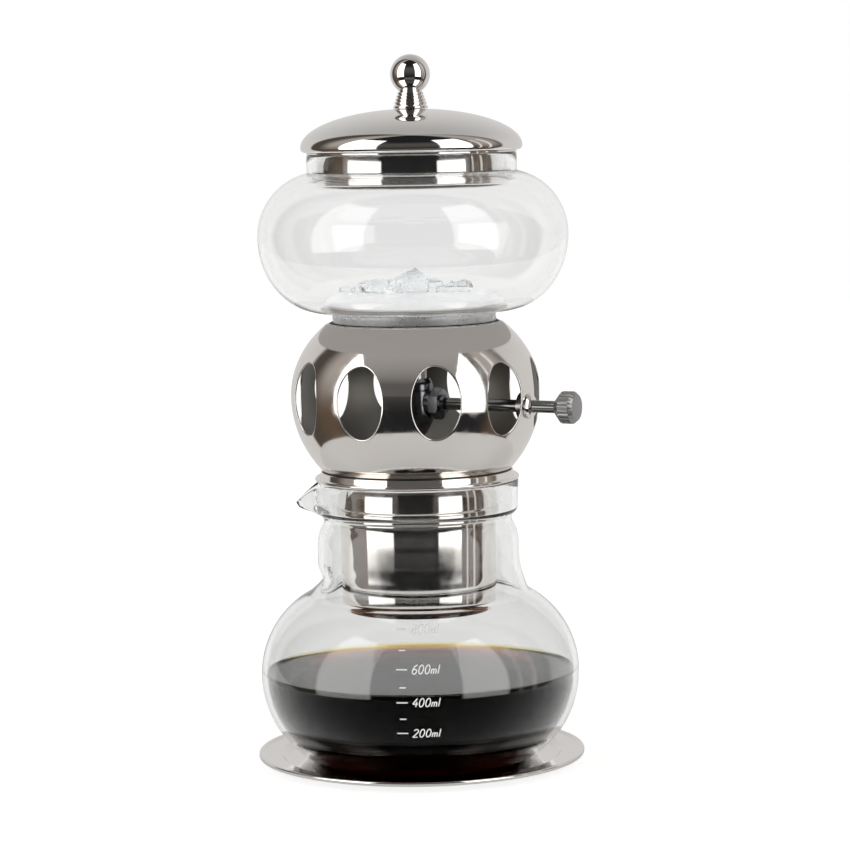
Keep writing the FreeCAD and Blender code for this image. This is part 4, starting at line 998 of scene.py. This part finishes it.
def studio():
    world = bpy.data.worlds.new("studio")
    bpy.context.scene.world = world
    world.use_nodes = True
    tree = world.node_tree
    background = tree.nodes["Background"]

    def node(kind, inputs=(), **settings):
        made = tree.nodes.new(kind)
        for key, value in settings.items():
            setattr(made, key, value)
        for key, value in dict(inputs).items():
            if isinstance(value, bpy.types.NodeSocket):
                tree.links.new(value, made.inputs[key])
            else:
                made.inputs[key].default_value = value
        return made.outputs[0]

    way = tree.nodes.new("ShaderNodeTexCoord").outputs["Generated"]
    split = tree.nodes.new("ShaderNodeSeparateXYZ")
    tree.links.new(way, split.inputs[0])
    x, y, z = split.outputs
    front = node("ShaderNodeMath", {0: y, 1: -1.0}, operation="MULTIPLY")
    turn = node("ShaderNodeMath", {0: x, 1: front}, operation="ARCTAN2")
    turn = node("ShaderNodeMath", {0: turn, 1: 180 / math.pi}, operation="MULTIPLY")
    lift = node("ShaderNodeMath", {0: z}, operation="ARCSINE")
    lift = node("ShaderNodeMath", {0: lift, 1: 180 / math.pi}, operation="MULTIPLY")

    def step(value, low, high):
        limits = {"Value": value, "From Min": low, "From Max": high}
        return node("ShaderNodeMapRange", limits, interpolation_type="SMOOTHSTEP")

    def product(*values):
        result = values[0]
        for value in values[1:]:
            result = node("ShaderNodeMath", {0: result, 1: value}, operation="MULTIPLY")
        return result

    def lamp(left, right, low, high, soft):
        return product(step(turn, left, left + soft), step(turn, right, right - soft),
                       step(lift, low, low + soft), step(lift, high, high - soft))

    def mix(mask, a, b):
        made = tree.nodes.new("ShaderNodeMix")
        made.data_type = "RGBA"
        for key, value in ((0, mask), (6, a), (7, b)):
            if isinstance(value, bpy.types.NodeSocket):
                tree.links.new(value, made.inputs[key])
            else:
                made.inputs[key].default_value = value
        return made.outputs[2]

    side = node("ShaderNodeMath", {0: turn}, operation="ABSOLUTE")
    gap = mix(step(lift, -16, 24), (0.018, 0.018, 0.019, 1), (0.085, 0.080, 0.075, 1))
    gap = mix(step(lift, 30, 50), gap, (0.016, 0.016, 0.018, 1))
    room = mix(step(lift, -16, 28), (0.12, 0.082, 0.058, 1), (0.42, 0.39, 0.36, 1))
    shade = mix(step(side, 92, 114), room, (0.080, 0.066, 0.055, 1))
    ahead = mix(step(side, 62, 84), gap, shade)
    backdrop = mix(step(lift, 8, 75), (1.0, 1.0, 1.0, 1), (0.48, 0.475, 0.47, 1))
    rays = tree.nodes.new("ShaderNodeLightPath").outputs
    grey = mix(step(lift, 8, 75), (0.68, 0.67, 0.66, 1), (0.46, 0.455, 0.45, 1))
    mirrored = node("ShaderNodeMath", {0: rays["Is Glossy Ray"], 1: rays["Is Transmission Ray"]},
                    operation="SUBTRACT", use_clamp=True)
    backdrop = mix(mirrored, backdrop, grey)
    behind = mix(step(turn, -60, 60), step(side, 124, 130), step(side, 106, 112))
    colour = mix(behind, ahead, backdrop)
    softbox = (2.35, 2.32, 2.29, 1)
    colour = mix(lamp(-82, GAP_LEFT, -15, 58, 3), colour, softbox)
    colour = mix(lamp(GAP_RIGHT, 68, -15, 58, 3), colour, softbox)
    for left, right in ((75, 79), (88, 93)):
        colour = mix(lamp(left, right, -20, 45, 1.5), colour, (0.9, 0.88, 0.86, 1))
    colour = mix(rays["Is Camera Ray"], colour, (1, 1, 1, 1))
    tree.links.new(colour, background.inputs["Color"])
    world.cycles.sampling_method = "MANUAL"
    world.cycles.sample_map_resolution = 512

    near, far = 0.275, 3.0
    front = [(near * math.cos(t), near * math.sin(t)) for t in np.radians(np.linspace(180, 360, 49))]
    flank_turn = math.radians(126)                  # azimuth of the floor's front corners
    flank = (far * math.sin(flank_turn), -far * math.cos(flank_turn))
    outline = front + [flank, (far, far), (-far, far), (-flank[0], flank[1])]
    floor = stage_sheet("floor", outline, -0.0004, 0.45, 0.75)
    floor.visible_glossy = False
    turns = np.radians(np.linspace(0, 360, 96, endpoint=False))
    disc = [(near * math.cos(t), near * math.sin(t)) for t in turns]
    table = stage_sheet("table_top", disc, -0.0002, 0.68, 0.18)
    hide_from_all_but_gloss(table)
    painted_reflection_card()


def stage_sheet(name, outline, height, colour, glow):
    """A level sheet of the studio, which isn't part of the tower."""
    mesh = bpy.data.meshes.new(name)
    mesh.from_pydata([(x, y, 0) for x, y in outline], [], [tuple(range(len(outline)))])
    sheet = bpy.data.objects.new(name, mesh)
    sheet.location.z = height
    bpy.context.scene.collection.objects.link(sheet)
    look = Look(name, Base_Color=(colour, colour, colour, 1), Roughness=0.9, Emission_Color=(1, 1, 1, 1),
                Emission_Strength=glow)
    mesh.materials.append(look.material)
    return sheet


def hide_from_all_but_gloss(sheet):
    sheet.visible_camera = False
    sheet.visible_transmission = False
    sheet.visible_diffuse = False
    sheet.visible_shadow = False
    sheet.visible_volume_scatter = False


def painted_reflection_card():
    """A card all round the tower between ball and tank, wider at the front, that glows a faint grey and is
    seen only in reflections: a painted reflection on the ball and the tank. Its glow fades outwards.
    """
    near, height = 0.0372, 0.1998
    wide, narrow = 0.30, 0.057
    verts, faces = [], []
    turns = list(range(-180, 181, 2))
    for turn in turns:
        reach = wide if GAP_LEFT <= turn <= GAP_RIGHT else narrow
        t = math.radians(turn)
        for r in (near, reach):
            verts.append((r * math.sin(t), -r * math.cos(t), 0))
    for k in range(len(turns) - 1):
        a = 2 * k
        faces.append((a, a + 1, a + 3, a + 2))
    mesh = bpy.data.meshes.new("painted_reflection_card")
    mesh.from_pydata(verts, [], faces)
    card = bpy.data.objects.new("painted_reflection_card", mesh)
    card.location.z = height
    bpy.context.scene.collection.objects.link(card)
    # Painted reflection: the black card glows, brighter near the tower, and only glossy rays see it.
    look = Look("painted_reflection_card", Base_Color=(0, 0, 0, 1), Roughness=1.0, Emission_Color=(1, 0.965, 0.93, 1))
    reach = look.node("ShaderNodeVectorMath", {0: look.place()}, operation="LENGTH").outputs["Value"]
    look.link(look.between(reach, 0.058, 0.115, 0.36, 0.10), "Emission Strength")
    mesh.materials.append(look.material)
    hide_from_all_but_gloss(card)


def camera():
    data = bpy.data.cameras.new("camera")
    data.sensor_width = 36.0
    data.lens = FOCAL / PICTURE * 36.0
    data.clip_start = 0.05
    made = bpy.data.objects.new("camera", data)
    bpy.context.scene.collection.objects.link(made)
    turn = Matrix.Rotation(math.radians(90 - PITCH), 4, "X") @ Matrix.Rotation(math.radians(-ROLL), 4, "Z")
    made.matrix_world = Matrix.Translation(CAMERA) @ turn
    bpy.context.scene.camera = made


def light_paths():
    scene = bpy.context.scene
    scene.view_settings.view_transform = "Standard"
    scene.cycles.use_denoising = True
    scene.cycles.max_bounces = 24
    scene.cycles.glossy_bounces = 12
    scene.cycles.transmission_bounces = 24
    scene.cycles.caustics_reflective = True
    scene.cycles.caustics_refractive = True


saucer()
inside = server()
brewed_coffee(inside)
volume_scale()
filter_cup()
ball_housing()
tank()
tank_water()
ice_cubes()
lid()
finial()
seals()
valve()
knob()
finish_kept_nodes()
studio()
camera()
light_paths()
